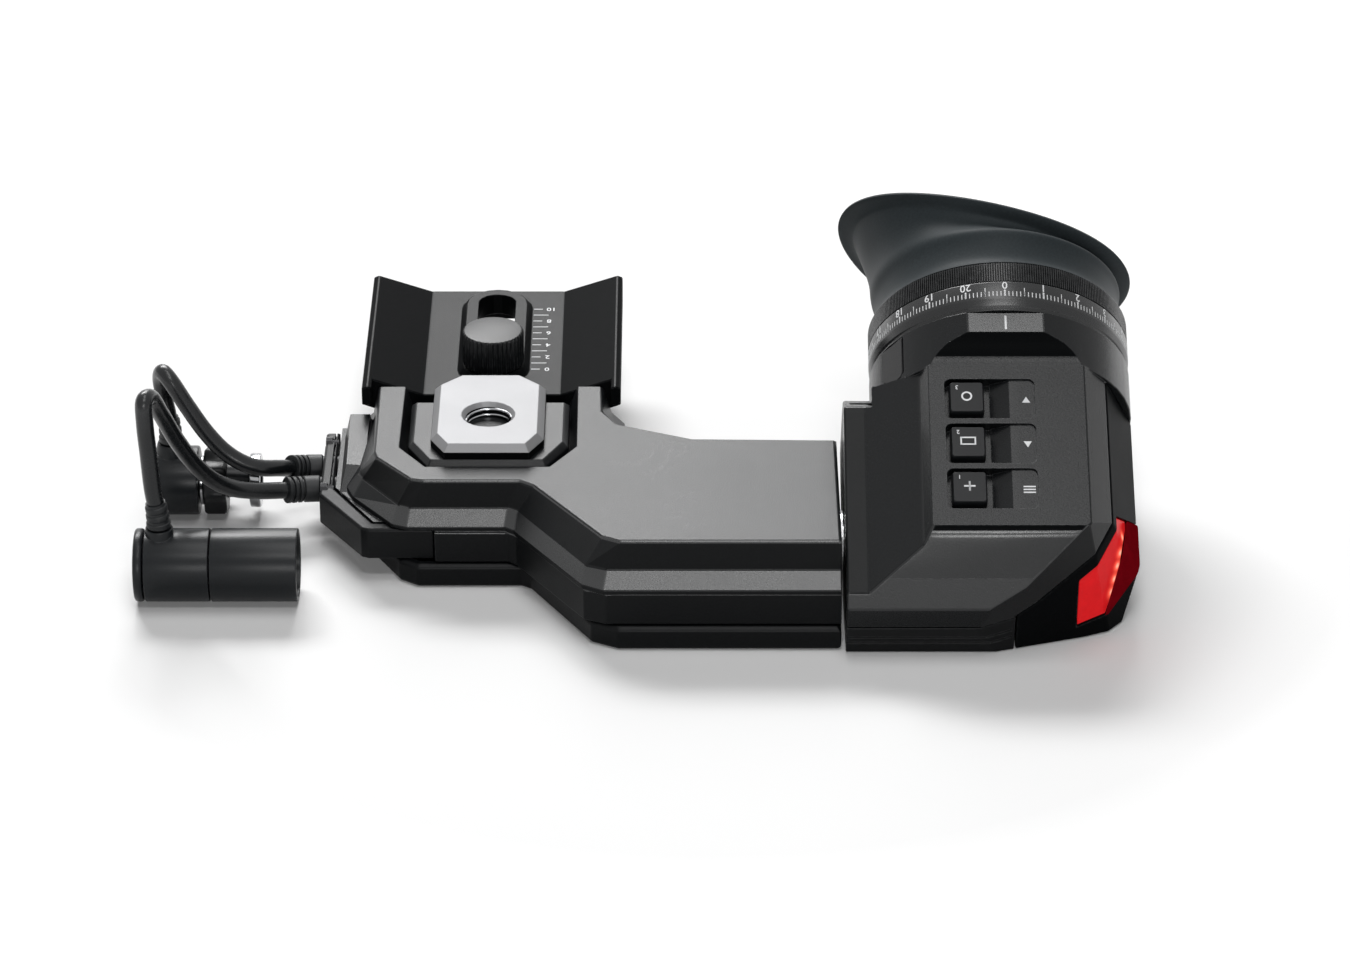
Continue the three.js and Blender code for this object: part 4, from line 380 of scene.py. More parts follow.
def stands_for(piece, body, *replaced):
    """The piece rides on its body and takes the place of these CAD nodes."""
    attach(piece, body)
    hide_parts(*replaced)
    faces = len(piece.data.polygons) if piece.type == "MESH" else "curve"
    print(piece.name, faces, "->", ", ".join(replaced))
    return piece


def set_on(name, bm, matrix, material, body, *replaced, smooth=32):
    """A bmesh moved to its frame, as a piece that stands for CAD nodes."""
    return stands_for(to_object(name, placed(bm, matrix), material, smooth), body, *replaced)


def detail_on(piece, body, node):
    """The piece rides on its body as a detail of a CAD node, and replaces none."""
    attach(piece, body)
    print(piece.name, len(piece.data.polygons), "on", node)
    return piece


def settled(piece):
    """The piece with its modifiers turned into a plain mesh."""
    graph = bpy.context.evaluated_depsgraph_get()
    mesh = bpy.data.meshes.new_from_object(piece.evaluated_get(graph), depsgraph=graph)
    piece.modifiers.clear()
    piece.data = mesh
    return piece


def merged_copy(node):
    """A bmesh of a CAD node with its loose triangles joined and its flat faces whole."""
    bm = bmesh.new()
    bm.from_mesh(nodes[node].data)
    bmesh.ops.remove_doubles(bm, verts=bm.verts, dist=WELD)
    bmesh.ops.dissolve_limit(bm, angle_limit=FLAT_WITHIN, verts=bm.verts, edges=bm.edges)
    return bm


def corners_of(edge):
    """Each edge that shares a face corner with this one, with the corner's angle."""
    for loop in edge.link_loops:
        for turn, side in ((loop, loop.link_loop_prev), (loop.link_loop_next, loop.link_loop_next)):
            yield side.edge, max(FLATTEST, min(turn.calc_angle(), math.pi - FLATTEST))


def mark_edges(bm, width, sharp):
    """Gives each sharp edge the width it can be rounded by, where its neighbours leave it room."""
    layers = bm.edges.layers.float
    weights = layers.get("bevel_weight_edge") or layers.new("bevel_weight_edge")
    for edge in bm.edges:
        if len(edge.link_faces) == 2 and edge.calc_face_angle(0) > math.radians(sharp):
            sides = corners_of(edge)
            room = [SIDE_SHARE * side.calc_length() * math.sin(angle) / MM for side, angle in sides]
            beside = [e for v in edge.verts for e in v.link_edges if e is not edge]
            near = [LENGTH_SHARE * e.calc_length() / MM for e in beside]
            edge[weights] = min([width, *near, *room]) / width


def kept_flat(piece):
    """Normals weighted by face area, so broad faces shade flat and only the rounded edges turn."""
    piece.modifiers.new("weighted", "WEIGHTED_NORMAL").keep_sharp = True
    return settled(piece)


def rounded(name, bm, material, width=0.3, segments=3, sharp=9, smooth=45):
    """A bmesh as an object whose edges over the sharp angle are rounded by a width in millimetres."""
    mark_edges(bm, width, sharp)
    piece = to_object(name, bm, material, smooth)
    bevel = piece.modifiers.new("edges", "BEVEL")
    bevel.limit_method = "WEIGHT"
    bevel.width = width * MM
    bevel.segments = segments
    bevel.use_clamp_overlap = False
    settled(piece)
    piece.data.set_sharp_from_angle(angle=math.radians(smooth))
    return kept_flat(piece)


def softened(node, body, material, width=0.3, **more):
    """A copy of a CAD node with rounded edges, standing for it."""
    return stands_for(rounded(node + "_dressed", merged_copy(node), material, width, **more), body, node)


# %% Turned shapes
def eased(profile, radius, steps=3):
    """The profile with each inner corner rounded by up to a radius."""
    points = [Vector(p) for p in profile]
    made = [points[0]]
    for before, here, after in zip(points, points[1:], points[2:]):
        cut = min(radius, (here - before).length * 0.45, (after - here).length * 0.45)
        start = here + (before - here).normalized() * cut
        end = here + (after - here).normalized() * cut
        for step in range(steps + 1):
            t = step / steps
            made.append(start * (1 - t) ** 2 + here * 2 * t * (1 - t) + end * t**2)
    return [tuple(p) for p in (*made, points[-1])]


def bridged(bm, rings, closed=False):
    """Faces between rings of vertices, where a ring of one is a pole."""
    pairs = list(zip(rings, rings[1:])) + ([(rings[-1], rings[0])] if closed else [])
    for low, high in pairs:
        for k in range(max(len(low), len(high))):
            n = k + 1
            corner = [low[k % len(low)], low[n % len(low)], high[n % len(high)], high[k % len(high)]]
            kept = list(dict.fromkeys(corner))
            if len(kept) > 2:
                bm.faces.new(kept)
    bmesh.ops.recalc_face_normals(bm, faces=bm.faces)
    return bm


def capped(bm, rings):
    """Faces between rings of vertices, with a face over each end."""
    bridged(bm, rings)
    bm.faces.new(rings[0])
    bm.faces.new(rings[-1])
    bmesh.ops.recalc_face_normals(bm, faces=bm.faces)
    return bm


def waved(radius, depth, waves, sides, power):
    """Radius and angle at each step round a rim that dips in even waves."""
    for k in range(sides):
        a = 2 * math.pi * k / sides
        yield radius - depth * (0.5 - 0.5 * math.cos(waves * a)) ** power, a


def turned(profile, sides=96, closed=False):
    """A bmesh turned about Y from (radius, place) pairs in millimetres."""
    bm = bmesh.new()
    rings = []
    for radius, place in profile:
        count = sides if radius > 1e-6 else 1
        angles = [2 * math.pi * k / count for k in range(count)]
        rings.append([bm.verts.new((radius * math.sin(a), place, radius * math.cos(a))) for a in angles])
    return bridged(bm, rings, closed)


def rod(radius, start, end):
    """The profile of a plain round bar."""
    return [(0, start), (radius, start), (radius, end), (0, end)]


def band(inner, outer, start, end):
    """The profile of a plain ring."""
    return [(inner, start), (outer, start), (outer, end), (inner, end)]


def tube(profile, radius, sides=96):
    """A bmesh turned from a closed profile with eased corners. Its first corner stays sharp."""
    return turned(eased([*profile, profile[0]], radius)[:-1], sides, closed=True)


def about(frame_matrix, place, axis):
    """Sets a shape turned about Y at a place in a frame, with its axis along X or Z."""
    angle, hinge = {"X": (-math.pi / 2, "Z"), "Z": (math.pi / 2, "X")}[axis]
    return frame_matrix @ Matrix.Translation(place) @ Matrix.Rotation(angle, 4, hinge)


def placed(bm, matrix):
    bm.transform(matrix)
    if matrix.determinant() < 0:
        bmesh.ops.reverse_faces(bm, faces=bm.faces)
    return bm


# %% Geometry Nodes trees
def geometry_tree(name, **inputs):
    """An empty Geometry Nodes tree with its maker, what it is given and what it makes."""
    tree = bpy.data.node_groups.new(name, "GeometryNodeTree")
    for label, kind in {"Geometry": "Geometry", **inputs, "Finish": "Material"}.items():
        tree.interface.new_socket(name=label, in_out="INPUT", socket_type="NodeSocket" + kind)
    tree.interface.new_socket(name="Geometry", in_out="OUTPUT", socket_type="NodeSocketGeometry")
    maker = nodes_of(tree)
    return tree, maker, maker("NodeGroupInput").outputs, maker("NodeGroupOutput").inputs


def end_tree(tree, add, instances, given, made):
    """The last two nodes of every tree: real geometry, with its material."""
    real = add("GeometryNodeRealizeInstances", {"Geometry": instances})
    finished = add("GeometryNodeSetMaterial", {"Geometry": real.outputs[0], "Material": given["Finish"]})
    tree.links.new(finished.outputs[0], made["Geometry"])


ring_tree, add, given, made = geometry_tree("copies_in_a_ring", Count="Int", Step="Float", First="Float")
spots = add("GeometryNodeMeshLine", {"Count": given["Count"], "Offset": (0, 0, 0)})
number = add("GeometryNodeInputIndex")
turn = maths(add, "MULTIPLY_ADD", number.outputs[0], given["Step"], given["First"])
angles = add("ShaderNodeCombineXYZ", {"Y": turn})
rotation = add("FunctionNodeEulerToRotation", {0: angles.outputs[0]})
copies = add("GeometryNodeInstanceOnPoints", {"Points": spots.outputs[0], "Instance": given["Geometry"],
                                              "Rotation": rotation.outputs[0]})
end_tree(ring_tree, add, copies.outputs[0], given, made)

row_tree, add, given, made = geometry_tree("copies_in_a_row", Count="Int", Offset="Vector")
spots = add("GeometryNodeMeshLine", {"Count": given["Count"], "Offset": given["Offset"]})
copies = add("GeometryNodeInstanceOnPoints", {"Points": spots.outputs[0], "Instance": given["Geometry"]})
end_tree(row_tree, add, copies.outputs[0], given, made)


def grown(piece, tree, **inputs):
    """The piece after a tree has run on it, as a plain mesh."""
    modifier = piece.modifiers.new(tree.name, "NODES")
    modifier.node_group = tree
    for item in tree.interface.items_tree:
        if item.in_out == "INPUT" and item.name in inputs:
            modifier[item.identifier] = inputs[item.name]
    return settled(piece)


def repeated(name, bm, tree, material, matrix, **inputs):
    """A small shape repeated by a tree, as a plain mesh moved to its frame."""
    piece = grown(to_object(name, bm, material), tree, Finish=material, **inputs)
    piece.data.transform(matrix)
    return piece


def joined(name, *pieces):
    """Several plain pieces of one body as one object, each keeping its finish."""
    first = pieces[0]
    with bpy.context.temp_override(active_object=first, object=first, selected_editable_objects=list(pieces)):
        bpy.ops.object.join()
    first.name = name
    return first


print("trees", ring_tree.name, row_tree.name)


# %% Flat marks
FIGURE_SHARE, FIGURE_BOLDER, FIGURE_WELD = 0.7, 0.012, 1e-4


def solid_outline(points, thick):
    """A bmesh plate over an outline of (x, y) pairs, from z = 0 to its thickness."""
    bm = bmesh.new()
    face = bm.faces.new([bm.verts.new((x, y, 0)) for x, y in points])
    top = bmesh.ops.extrude_face_region(bm, geom=[face])["geom"]
    bmesh.ops.translate(bm, vec=(0, 0, thick), verts=[v for v in top if isinstance(v, bmesh.types.BMVert)])
    bmesh.ops.recalc_face_normals(bm, faces=bm.faces)
    return bm


def slab(width, depth, thick):
    x, y = width / 2, depth / 2
    return solid_outline([(-x, -y), (x, -y), (x, y), (-x, y)], thick)


def figure(text, height, thick):
    """A bmesh of a number in the plain built-in face, centred, its height in millimetres."""
    curve = bpy.data.curves.new("figure", "FONT")
    curve.body = text
    curve.size = height / FIGURE_SHARE
    curve.align_x, curve.align_y = "CENTER", "CENTER"
    curve.extrude = thick / 2
    curve.resolution_u = 3
    curve.offset = height * FIGURE_BOLDER
    holder = bpy.data.objects.new("figure", curve)
    scene.collection.objects.link(holder)
    bpy.context.view_layer.update()
    mesh = bpy.data.meshes.new_from_object(holder)
    bpy.data.objects.remove(holder)
    bm = bmesh.new()
    bm.from_mesh(mesh)
    bmesh.ops.remove_doubles(bm, verts=bm.verts, dist=FIGURE_WELD)
    return bm


def merged(parts):
    """Several bmeshes as one."""
    whole = bmesh.new()
    for bm in parts:
        step = bpy.data.meshes.new("step")
        bm.to_mesh(step)
        bm.free()
        whole.from_mesh(step)
        bpy.data.meshes.remove(step)
    return whole


def gathered(name, parts, material, smooth=32):
    """Several bmeshes as one object."""
    return to_object(name, merged(parts), material, smooth)


# %% [markdown]
# ## The cables come first
#
# Two round jackets leave the left end of the arm, arch over and drop into the tops of their
# plugs. They are short and stiff, so they stand in the arch that the photograph shows, with
# their plugs resting on the floor. Each route repeats the points of the CAD source, through the
# same centripetal curve, and each cord is measured from the arm's end face to its plug.

# %% Cable routes
END_FACE = Vector((-135.6, 70.9, 0))
FRONT_ROUTE = [
    (23.6, -6.7, 11.8), (5.6, -6.7, 11.8), (-3.8, -7.3, 11.9), (-9.7, -9.5, 12.7), (-16.6, -13.3, 14.6),
    (-22.1, -16.5, 17), (-26.7, -19.7, 20.9), (-31.1, -23.1, 27.3), (-35.3, -27.5, 37), (-38.6, -33, 48),
    (-40.5, -38.9, 55.8), (-41.6, -42.3, 56.4), (-41.6, -43.6, 50.6), (-41.1, -43.7, 41.8),
    (-40.5, -43.7, 31.7), (-39.6, -43.7, 24.6), (-39.4, -43.7, 19), (-39.4, -43.7, 13),
]
REAR_ROUTE = [
    (23.6, 4.7, 11.8), (5.6, 4.7, 11.8), (-2.8, 4.5, 11.9), (-7.8, 2, 13.1), (-12, -2.1, 15.3),
    (-16, -4.7, 16.8), (-20.3, -5.3, 18.4), (-25.2, -4.9, 21.6), (-30.1, -4.3, 27.2), (-34.9, -3.6, 34.8),
    (-39, -2.7, 41.7), (-41.1, -0.3, 42.9), (-42, 2.3, 39.6), (-41.6, 3.1, 34.6), (-40.6, 2.4, 29),
    (-40.2, 2.2, 24), (-40.2, 2.2, 13.5),
]
CABLE_DIAMETER = 4.5
CURVE_STEPS = 14


def centripetal(route, steps=CURVE_STEPS):
    """Points along the centripetal Catmull-Rom curve through a route, in the arm's frame."""
    marks = [Vector(p) + END_FACE for p in route]
    marks = [marks[0] * 2 - marks[1], *marks, marks[-1] * 2 - marks[-2]]
    line = []
    for p0, p1, p2, p3 in zip(marks, marks[1:], marks[2:], marks[3:]):
        d0, d1, d2 = ((b - a).length ** 0.5 for a, b in ((p0, p1), (p1, p2), (p2, p3)))
        t1 = ((p1 - p0) / d0 - (p2 - p0) / (d0 + d1) + (p2 - p1) / d1) * d1
        t2 = ((p2 - p1) / d1 - (p3 - p1) / (d1 + d2) + (p3 - p2) / d2) * d1
        for k in range(steps):
            t = k / steps
            line.append(p1 + t1 * t + (3 * (p2 - p1) - 2 * t1 - t2) * t**2 + (2 * (p1 - p2) + t1 + t2) * t**3)
    return [*line, marks[-2]]


front_line = centripetal(FRONT_ROUTE)
rear_line = centripetal(REAR_ROUTE)


def line_length(line):
    return sum((b - a).length for a, b in zip(line, line[1:]))


def cable_curve(name, line, start_x):
    """A round cable from where the line passes a place along X."""
    kept = [p for p in line if p.x <= start_x]
    curve = bpy.data.curves.new(name, "CURVE")
    curve.dimensions = "3D"
    curve.bevel_depth = CABLE_DIAMETER / 2 * MM
    curve.bevel_resolution = 8
    curve.use_fill_caps = True
    spline = curve.splines.new("POLY")
    spline.points.add(len(kept) - 1)
    for point, place in zip(spline.points, kept):
        point.co = (*(ARM @ place), 1)
    spline.use_smooth = True
    curve.materials.append(jacket)
    cable = bpy.data.objects.new(name, curve)
    scene.collection.objects.link(cable)
    length = line_length(kept)
    print(name, round(length, 1), "mm")
    return cable, length * MM, ARM @ kept[0]


CORD_START = END_FACE.x + 1
power_cable, power_length, power_exit = cable_curve("power_cable_jacket", front_line, CORD_START)
video_cable, video_length, video_exit = cable_curve("video_cable_jacket", rear_line, CORD_START)
stands_for(power_cable, "arm", "power_cable")
stands_for(video_cable, "arm", "video_cable")

# %% [markdown]
# ## Ribbed reliefs
#
# A relief is a rubber sleeve moulded round its cable: a collar at the wall and three rings, and
# at a plug the rings alone. It follows the cable's own curve, so its rings are circles square to
# the line, swept as one skin.


# %% Reliefs on the cables
def passes_left(line, x):
    """The distance along a line where it first passes a place along X, going left."""
    gone = 0
    for a, b in zip(line, line[1:]):
        step = (b - a).length
        if b.x <= x < a.x:
            return gone + step * (x - a.x) / (b.x - a.x)
        gone += step
    return gone


def at_distance(line, distance):
    """The point at a distance along a line, and the way the line runs there."""
    gone = 0
    for a, b in zip(line, line[1:]):
        step = (b - a).length
        if gone + step >= distance:
            return a.lerp(b, (distance - gone) / step), (b - a).normalized()
        gone += step
    return line[-1], (line[-1] - line[-2]).normalized()


def sleeve(line, stations, sides=40):
    """A closed skin of rings round a line: (distance, radius) pairs, outside then inside."""
    bm = bmesh.new()
    rings = []
    for distance, radius in stations:
        centre, ahead = at_distance(line, distance)
        across = Vector((0, 1, 0)).cross(ahead).normalized()
        other = ahead.cross(across)
        angles = [2 * math.pi * k / sides for k in range(sides)]
        rings.append([bm.verts.new(centre + across * radius * math.cos(a) + other * radius * math.sin(a))
                      for a in angles])
    return bridged(bm, rings, closed=True)


def bore_back(first, last, radius, count=8):
    """The inside of a sleeve, as (distance, radius) pairs from its last station to its first."""
    return [(last + (first - last) * k / count, radius) for k in range(count + 1)]


def ring_profile(start, pitch, radius, depth):
    """One rounded ring between two grooves, as (distance, radius) pairs."""
    shape = [(0, -depth), (0.3, -depth), (0.34, -0.12), (0.42, 0), (0.88, 0), (0.96, -0.12), (1, -depth)]
    return [(start + share * pitch, radius + drop) for share, drop in shape]


BORE = CABLE_DIAMETER / 2 + 0.02
RINGS = 3
RELIEF_LENGTH, RING_PITCH, RING_RADIUS, RING_GROOVE = 9.4, 1.6, 3.5, 0.75
PLUG_RELIEF, PLUG_RING_RADIUS, PLUG_RING_GROWTH, PLUG_GROOVE = 7, 2.9, 0.4, 0.3
SEAM = 0.3
for side, line in (("front", front_line), ("rear", rear_line)):
    face = passes_left(line, END_FACE.x - SEAM)
    ribs_from = face + RELIEF_LENGTH - RINGS * RING_PITCH
    outside = [(face - 5, 3.1), (face, 3.1), (face + 0.15, 3.3), (face + 0.4, RING_RADIUS),
               (ribs_from - 0.3, RING_RADIUS), (ribs_from, 3.3)]
    for k in range(RINGS):
        outside += ring_profile(ribs_from + k * RING_PITCH, RING_PITCH, RING_RADIUS, RING_GROOVE)
    skin = sleeve(line, outside + bore_back(outside[0][0], outside[-1][0], BORE))
    set_on(side + "_relief_rings", skin, ARM, relief_rubber, "arm", side + "_cable_relief")

PLUGS = (("power", front_line, "xlr_relief", 20.6), ("video", rear_line, "bnc_relief", 21))
for plug, line, node, boss_top in PLUGS:
    foot = line_length(line) - (boss_top - line[-1].z) - SEAM
    outside = []
    for k in range(RINGS):
        outside += ring_profile(foot - PLUG_RELIEF + k * PLUG_RELIEF / RINGS, PLUG_RELIEF / RINGS,
                                PLUG_RING_RADIUS + PLUG_RING_GROWTH * k / RINGS, PLUG_GROOVE)
    outside.append((foot, 3.3))
    skin = sleeve(line, outside + bore_back(outside[0][0], foot, BORE))
    set_on(plug + "_plug_relief", skin, ARM, relief_rubber, "arm", node)

# %% [markdown]
# ## Four-pin power plug
#
# The barrel is three turned parts with fine gaps between them: an end cap, a body with a boss
# where the cable enters, and a thin sleeve round four contacts. They are drawn again as turned
# shapes with many sides and eased corners, at the sizes of the CAD solids.

# %% Power plug
XLR_Y, XLR_R, XLR_X = 27.2, 9.5, -181.6
CAP_END, BODY_START, BODY_END, SLEEVE_START = (XLR_X + far for far in (2.4, 2.7, 19.4, 19.7))
SLEEVE_LENGTH, SLEEVE_WALL, MOUTH_DEPTH = 22.4, 1.1, 13
PIN_RADIUS, PIN_LENGTH, PIN_CIRCLE = 1.1, 9.6, 4.1
PIN_SET_BACK, PIN_GAP = 16.2, 0.15
xlr_axis = about(ARM, (0, XLR_Y, XLR_R), "X")
cap = turned(eased(rod(XLR_R, XLR_X, CAP_END), 0.9, 4))
set_on("power_plug_cap", cap, xlr_axis, plug_paint, "arm", "xlr_end_cap")

barrel = turned(eased(rod(XLR_R, BODY_START, BODY_END), 0.45))
boss = tube([(BORE, 10), (3.9, 10), (3.9, 17.6), (3.5, 20.6), (BORE, 20.6)], 0.35)
body = gathered("power_plug_body", [
    placed(barrel, xlr_axis),
    placed(boss, about(ARM, (XLR_X + 6.6, XLR_Y, 0), "Z")),
], plug_paint)
stands_for(body, "arm", "xlr_body")

mouth = SLEEVE_START + SLEEVE_LENGTH
shell = turned(eased([
    (0, SLEEVE_START), (XLR_R, SLEEVE_START), (XLR_R, mouth), (XLR_R - SLEEVE_WALL, mouth),
    (XLR_R - SLEEVE_WALL, mouth - MOUTH_DEPTH), (0, mouth - MOUTH_DEPTH),
], 0.4))
key_way = placed(slab(8, 1.8, 1.6), ARM @ Matrix.Translation((mouth - 6, XLR_Y, 2 * XLR_R - 2.6)))
sleeve_obj = gathered("power_plug_sleeve", [placed(shell, xlr_axis), key_way], plug_paint)
stands_for(sleeve_obj, "arm", "xlr_sleeve")

pin_spot = (PIN_CIRCLE * math.sin(math.pi / 4), 0, PIN_CIRCLE * math.cos(math.pi / 4))
pin = placed(turned(eased(rod(PIN_RADIUS, 0, PIN_LENGTH), 0.5, 4), 24), Matrix.Translation(pin_spot))
pins_axis = about(ARM, (mouth - PIN_SET_BACK + PIN_GAP, XLR_Y, XLR_R), "X")
pins = repeated("power_contacts", pin, ring_tree, gold, pins_axis, Count=4, Step=math.pi / 2)
stands_for(pins, "arm", "xlr_pin_1", "xlr_pin_2", "xlr_pin_3", "xlr_pin_4")

# %% [markdown]
# ## Bayonet video plug
#
# The black grip has eight soft lobes, so its section is one wave repeated round the axis. The
# lock ring and collar are polished. The grip and the ring turn together on their own body.

# %% Video plug
BNC_X, BNC_Y, BNC_R = -180.0, 73.1, 9.4
HOUSE_RADIUS, NOSE_RADIUS, NOSE_BORE, NOSE_DEPTH = 9.2, 4.6, 3.8, 6
HOUSE_LENGTH, COLLAR_LENGTH, GRIP_LENGTH, NOSE_REACH = 11.4, 1.2, 6, 9.2
bnc_axis = about(ARM, (0, BNC_Y, BNC_R), "X")
house_end = BNC_X + HOUSE_LENGTH
nose = house_end + COLLAR_LENGTH + GRIP_LENGTH + NOSE_REACH
house = turned(eased([
    (0, BNC_X), (HOUSE_RADIUS, BNC_X), (HOUSE_RADIUS, house_end), (NOSE_RADIUS, house_end),
    (NOSE_RADIUS, nose), (NOSE_BORE, nose), (NOSE_BORE, nose - NOSE_DEPTH), (0, nose - NOSE_DEPTH),
], 0.6))
boss = tube([(BORE, 10), (4.6, 10), (4.6, 16.2), (3.5, 21), (BORE, 21)], 0.4)
contact = turned(eased(rod(0.7, nose - NOSE_DEPTH, nose - 2.4), 0.3), 20)
housing = gathered("video_plug_body", [
    placed(house, bnc_axis),
    placed(boss, about(ARM, (BNC_X + 4.2, BNC_Y, 0), "Z")),
], plug_paint)
core = to_object("video_contact", placed(contact, bnc_axis), gold)
stands_for(joined("video_plug_body", housing, core), "arm", "bnc_body")

collar = tube(band(4.9, 6.6, house_end + 0.3, house_end + COLLAR_LENGTH), 0.25)
set_on("video_plug_collar", collar, bnc_axis, polished, "arm", "bnc_collar")


def lobed_ring(levels, lobes, sides=160, bore=4.9):
    """A closed ring about Y whose radius waves round it: (place, radius, wave depth) rows."""
    bm = bmesh.new()
    rings = []
    for place, radius, depth in [*levels, (levels[-1][0], bore, 0), (levels[0][0], bore, 0)]:
        rim = waved(radius, depth, lobes, sides, 0.8)
        rings.append([bm.verts.new((r * math.sin(a), place, r * math.cos(a))) for r, a in rim])
    return bridged(bm, rings, closed=True)


grip_from = house_end + 1.5
grip = lobed_ring([(grip_from, 8.6, 0.8), (grip_from + 0.3, 9.1, 1.1), (grip_from + 0.8, 9.4, 1.2),
                   (grip_from + 5.2, 9.4, 1.2), (grip_from + 5.7, 9.1, 1.1),
                   (grip_from + GRIP_LENGTH, 8.6, 0.8)], 8)
set_on("video_plug_grip", grip, bnc_axis, coat, "bnc_coupling", "bnc_grip")
set_on("video_lock_ring", tube(band(4.9, 7.2, nose - 2.9, nose), 0.5), bnc_axis, polished,
       "bnc_coupling", "bnc_lock_ring")

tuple(power_exit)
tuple(video_exit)

# %% [markdown]
# ## The cast arm
#
# The arm's shells, band, block and bracket are flat-faced castings, so softened copies of their
# CAD nodes carry the right shape. The rounded edges catch the light from behind as thin bright
# lines, which is what draws the arm's ledges in the photograph. Chosen faces also take darker or
# glossier copies of their coat, which paint shade on walls and wings and highlight on the ledges.

# %% Arm castings
def shaded(piece, material, choose):
    """Gives the faces whose normals are chosen a second material: a darker or glossier copy that paints shade
    or highlight on them by the way they face.
    """
    piece.data.materials.append(material)
    for face in piece.data.polygons:
        if choose(face.normal):
            face.material_index = len(piece.data.materials) - 1
    return piece


arm_shell = softened("arm_upper_shell", "arm", coat, 0.5)
# Painted shade and highlight: the arm's upright walls take the duller satin so that they read darker, and its
# sloped front ledges take a glossier copy of the coat so that they read brighter.
shaded(arm_shell, satin_and_shade, lambda normal: normal.z < 0.35)
shaded(arm_shell, highlight_coat, lambda normal: 0.5 < normal.z < 0.9 and normal.y < -0.4)
softened("arm_lower_cover", "arm", satin_and_shade, 0.45)
softened("side_band", "arm", satin_and_shade, 0.4)
# Painted shade: the bracket's wings, chosen by the way they face, take the duller satin so that they read
# dark.
shaded(softened("rear_bracket", "arm", bracket_coat, 0.4), deep_satin_and_shade, lambda normal: abs(normal.x) > 0.2)
softened("clamp_carriage", "carriage", steel, 0.15)

# %% Plinth round the mount block
PLINTH = [((-112.2, 81), (-110.8, 79.6)), ((-112.2, 57.3), (-110.8, 57.7)), ((-106.6, 46.3), (-105.8, 47.75)),
          ((-75.8, 46.3), (-76.6, 47.75)), ((-70.2, 57.3), (-71.6, 57.7)), ((-70.2, 81), (-71.6, 79.6))]
PLINTH_LEVELS = ((0, 24), (0, 27.7), (1, 29.3))
bm = bmesh.new()
levels = [[bm.verts.new((*corner[row], z)) for corner in PLINTH] for row, z in PLINTH_LEVELS]
plinth = rounded("mount_plinth", placed(capped(bm, levels), ARM), coat, 0.35)
detail_on(plinth, "arm", "arm_upper_shell")

# %% [markdown]
# ## Mount block and its thread
#
# The bright block is milled and blasted, with crisp chamfers. Its hole is threaded, which the
# CAD bore leaves out: a helix of a triangular profile, swept along a spiral by Geometry Nodes,
# stands in the bore and ends under the chamfer.

# %% Mount block
thread_tree, add, given, made = geometry_tree("thread_helix", Turns="Float", Pitch="Float", Radius="Float",
                                              Depth="Float")
height = maths(add, "MULTIPLY", given["Turns"], given["Pitch"])
spiral = add("GeometryNodeCurveSpiral", {
    "Resolution": 72, "Rotations": given["Turns"], "Start Radius": given["Radius"],
    "End Radius": given["Radius"], "Height": height,
})
profile = add("GeometryNodeCurvePrimitiveCircle", {"Resolution": 3, "Radius": given["Depth"]})
swept = add("GeometryNodeCurveToMesh", {"Curve": spiral.outputs[0], "Profile Curve": profile.outputs[0],
                                        "Fill Caps": True})
end_tree(thread_tree, add, swept.outputs[0], given, made)

CLAMP_X = -91.3
block = rounded("mount_block_dressed", merged_copy("mount_block"), blasted, 0.2, segments=2)
# Painted shade: the block's upright walls and the wall of its bore take the duller satin, so that they read
# black under the bright top and chamfers.
shaded(block, deep_satin_and_shade, lambda normal: abs(normal.z) < 0.3)
stands_for(block, "arm", "mount_block")
thread_place = ARM @ Matrix.Translation((CLAMP_X, 66, 20.5))
thread = repeated("mount_thread", bmesh.new(), thread_tree, polished, thread_place,
                  Turns=7.0, Pitch=1.6, Radius=5.95, Depth=0.75)
detail_on(thread, "arm", "mount_block")

# %% [markdown]
# ## Screws
#
# The cover's four screws are one turned shape, set at scattered points under the arm by a tree
# that copies onto the points of a mesh. The arm's two end screws and the head's two keep their
# CAD shape and take their finish with the other kept nodes.

# %% Screws
point_tree, add, given, made = geometry_tree("copies_on_points", Part="Object")
unit = add("GeometryNodeObjectInfo", {"Object": given["Part"]})
copies = add("GeometryNodeInstanceOnPoints", {"Points": given["Geometry"],
                                              "Instance": unit.outputs["Geometry"]})
end_tree(point_tree, add, copies.outputs[0], given, made)

SCREW = [(0, 0.25), (1.2, 0), (1.9, 0.25), (1.9, 1.3), (1.1, 1.3), (1.1, 5.6), (0, 5.9)]
ARM_SPAN, ARM_DEEP = 135.6, 91.2
SCREW_SINK = 0.15
UNDER_SHARES = ((-0.05, 0.10), (-0.05, 0.60), (-0.46, 0.09), (-0.80, 0.90))

unit = to_object("screw_unit", turned(eased(SCREW, 0.25), 32), black_screw)
bm = bmesh.new()
for x, y in UNDER_SHARES:
    bm.verts.new((x * ARM_SPAN, SCREW_SINK, -(y * ARM_DEEP)))
cover_screws = to_object("arm_cover_screws", bm, black_screw)
grown(cover_screws, point_tree, Part=unit, Finish=black_screw)
bpy.data.objects.remove(unit)
cover_screws.data.transform(ARM @ Matrix.Rotation(math.pi / 2, 4, "X"))
stands_for(cover_screws, "arm", "cover_screw_1", "cover_screw_2", "cover_screw_3", "cover_screw_4")

# %% [markdown]
# ## Bracket scale and thumb screw
#
# The bracket's flat is printed with eleven ticks and the even numbers, upside down for the
# camera, because they are read from behind. The thumb screw's flutes are one groove wave in its
# rim, repeated round it, under a plain flat top.

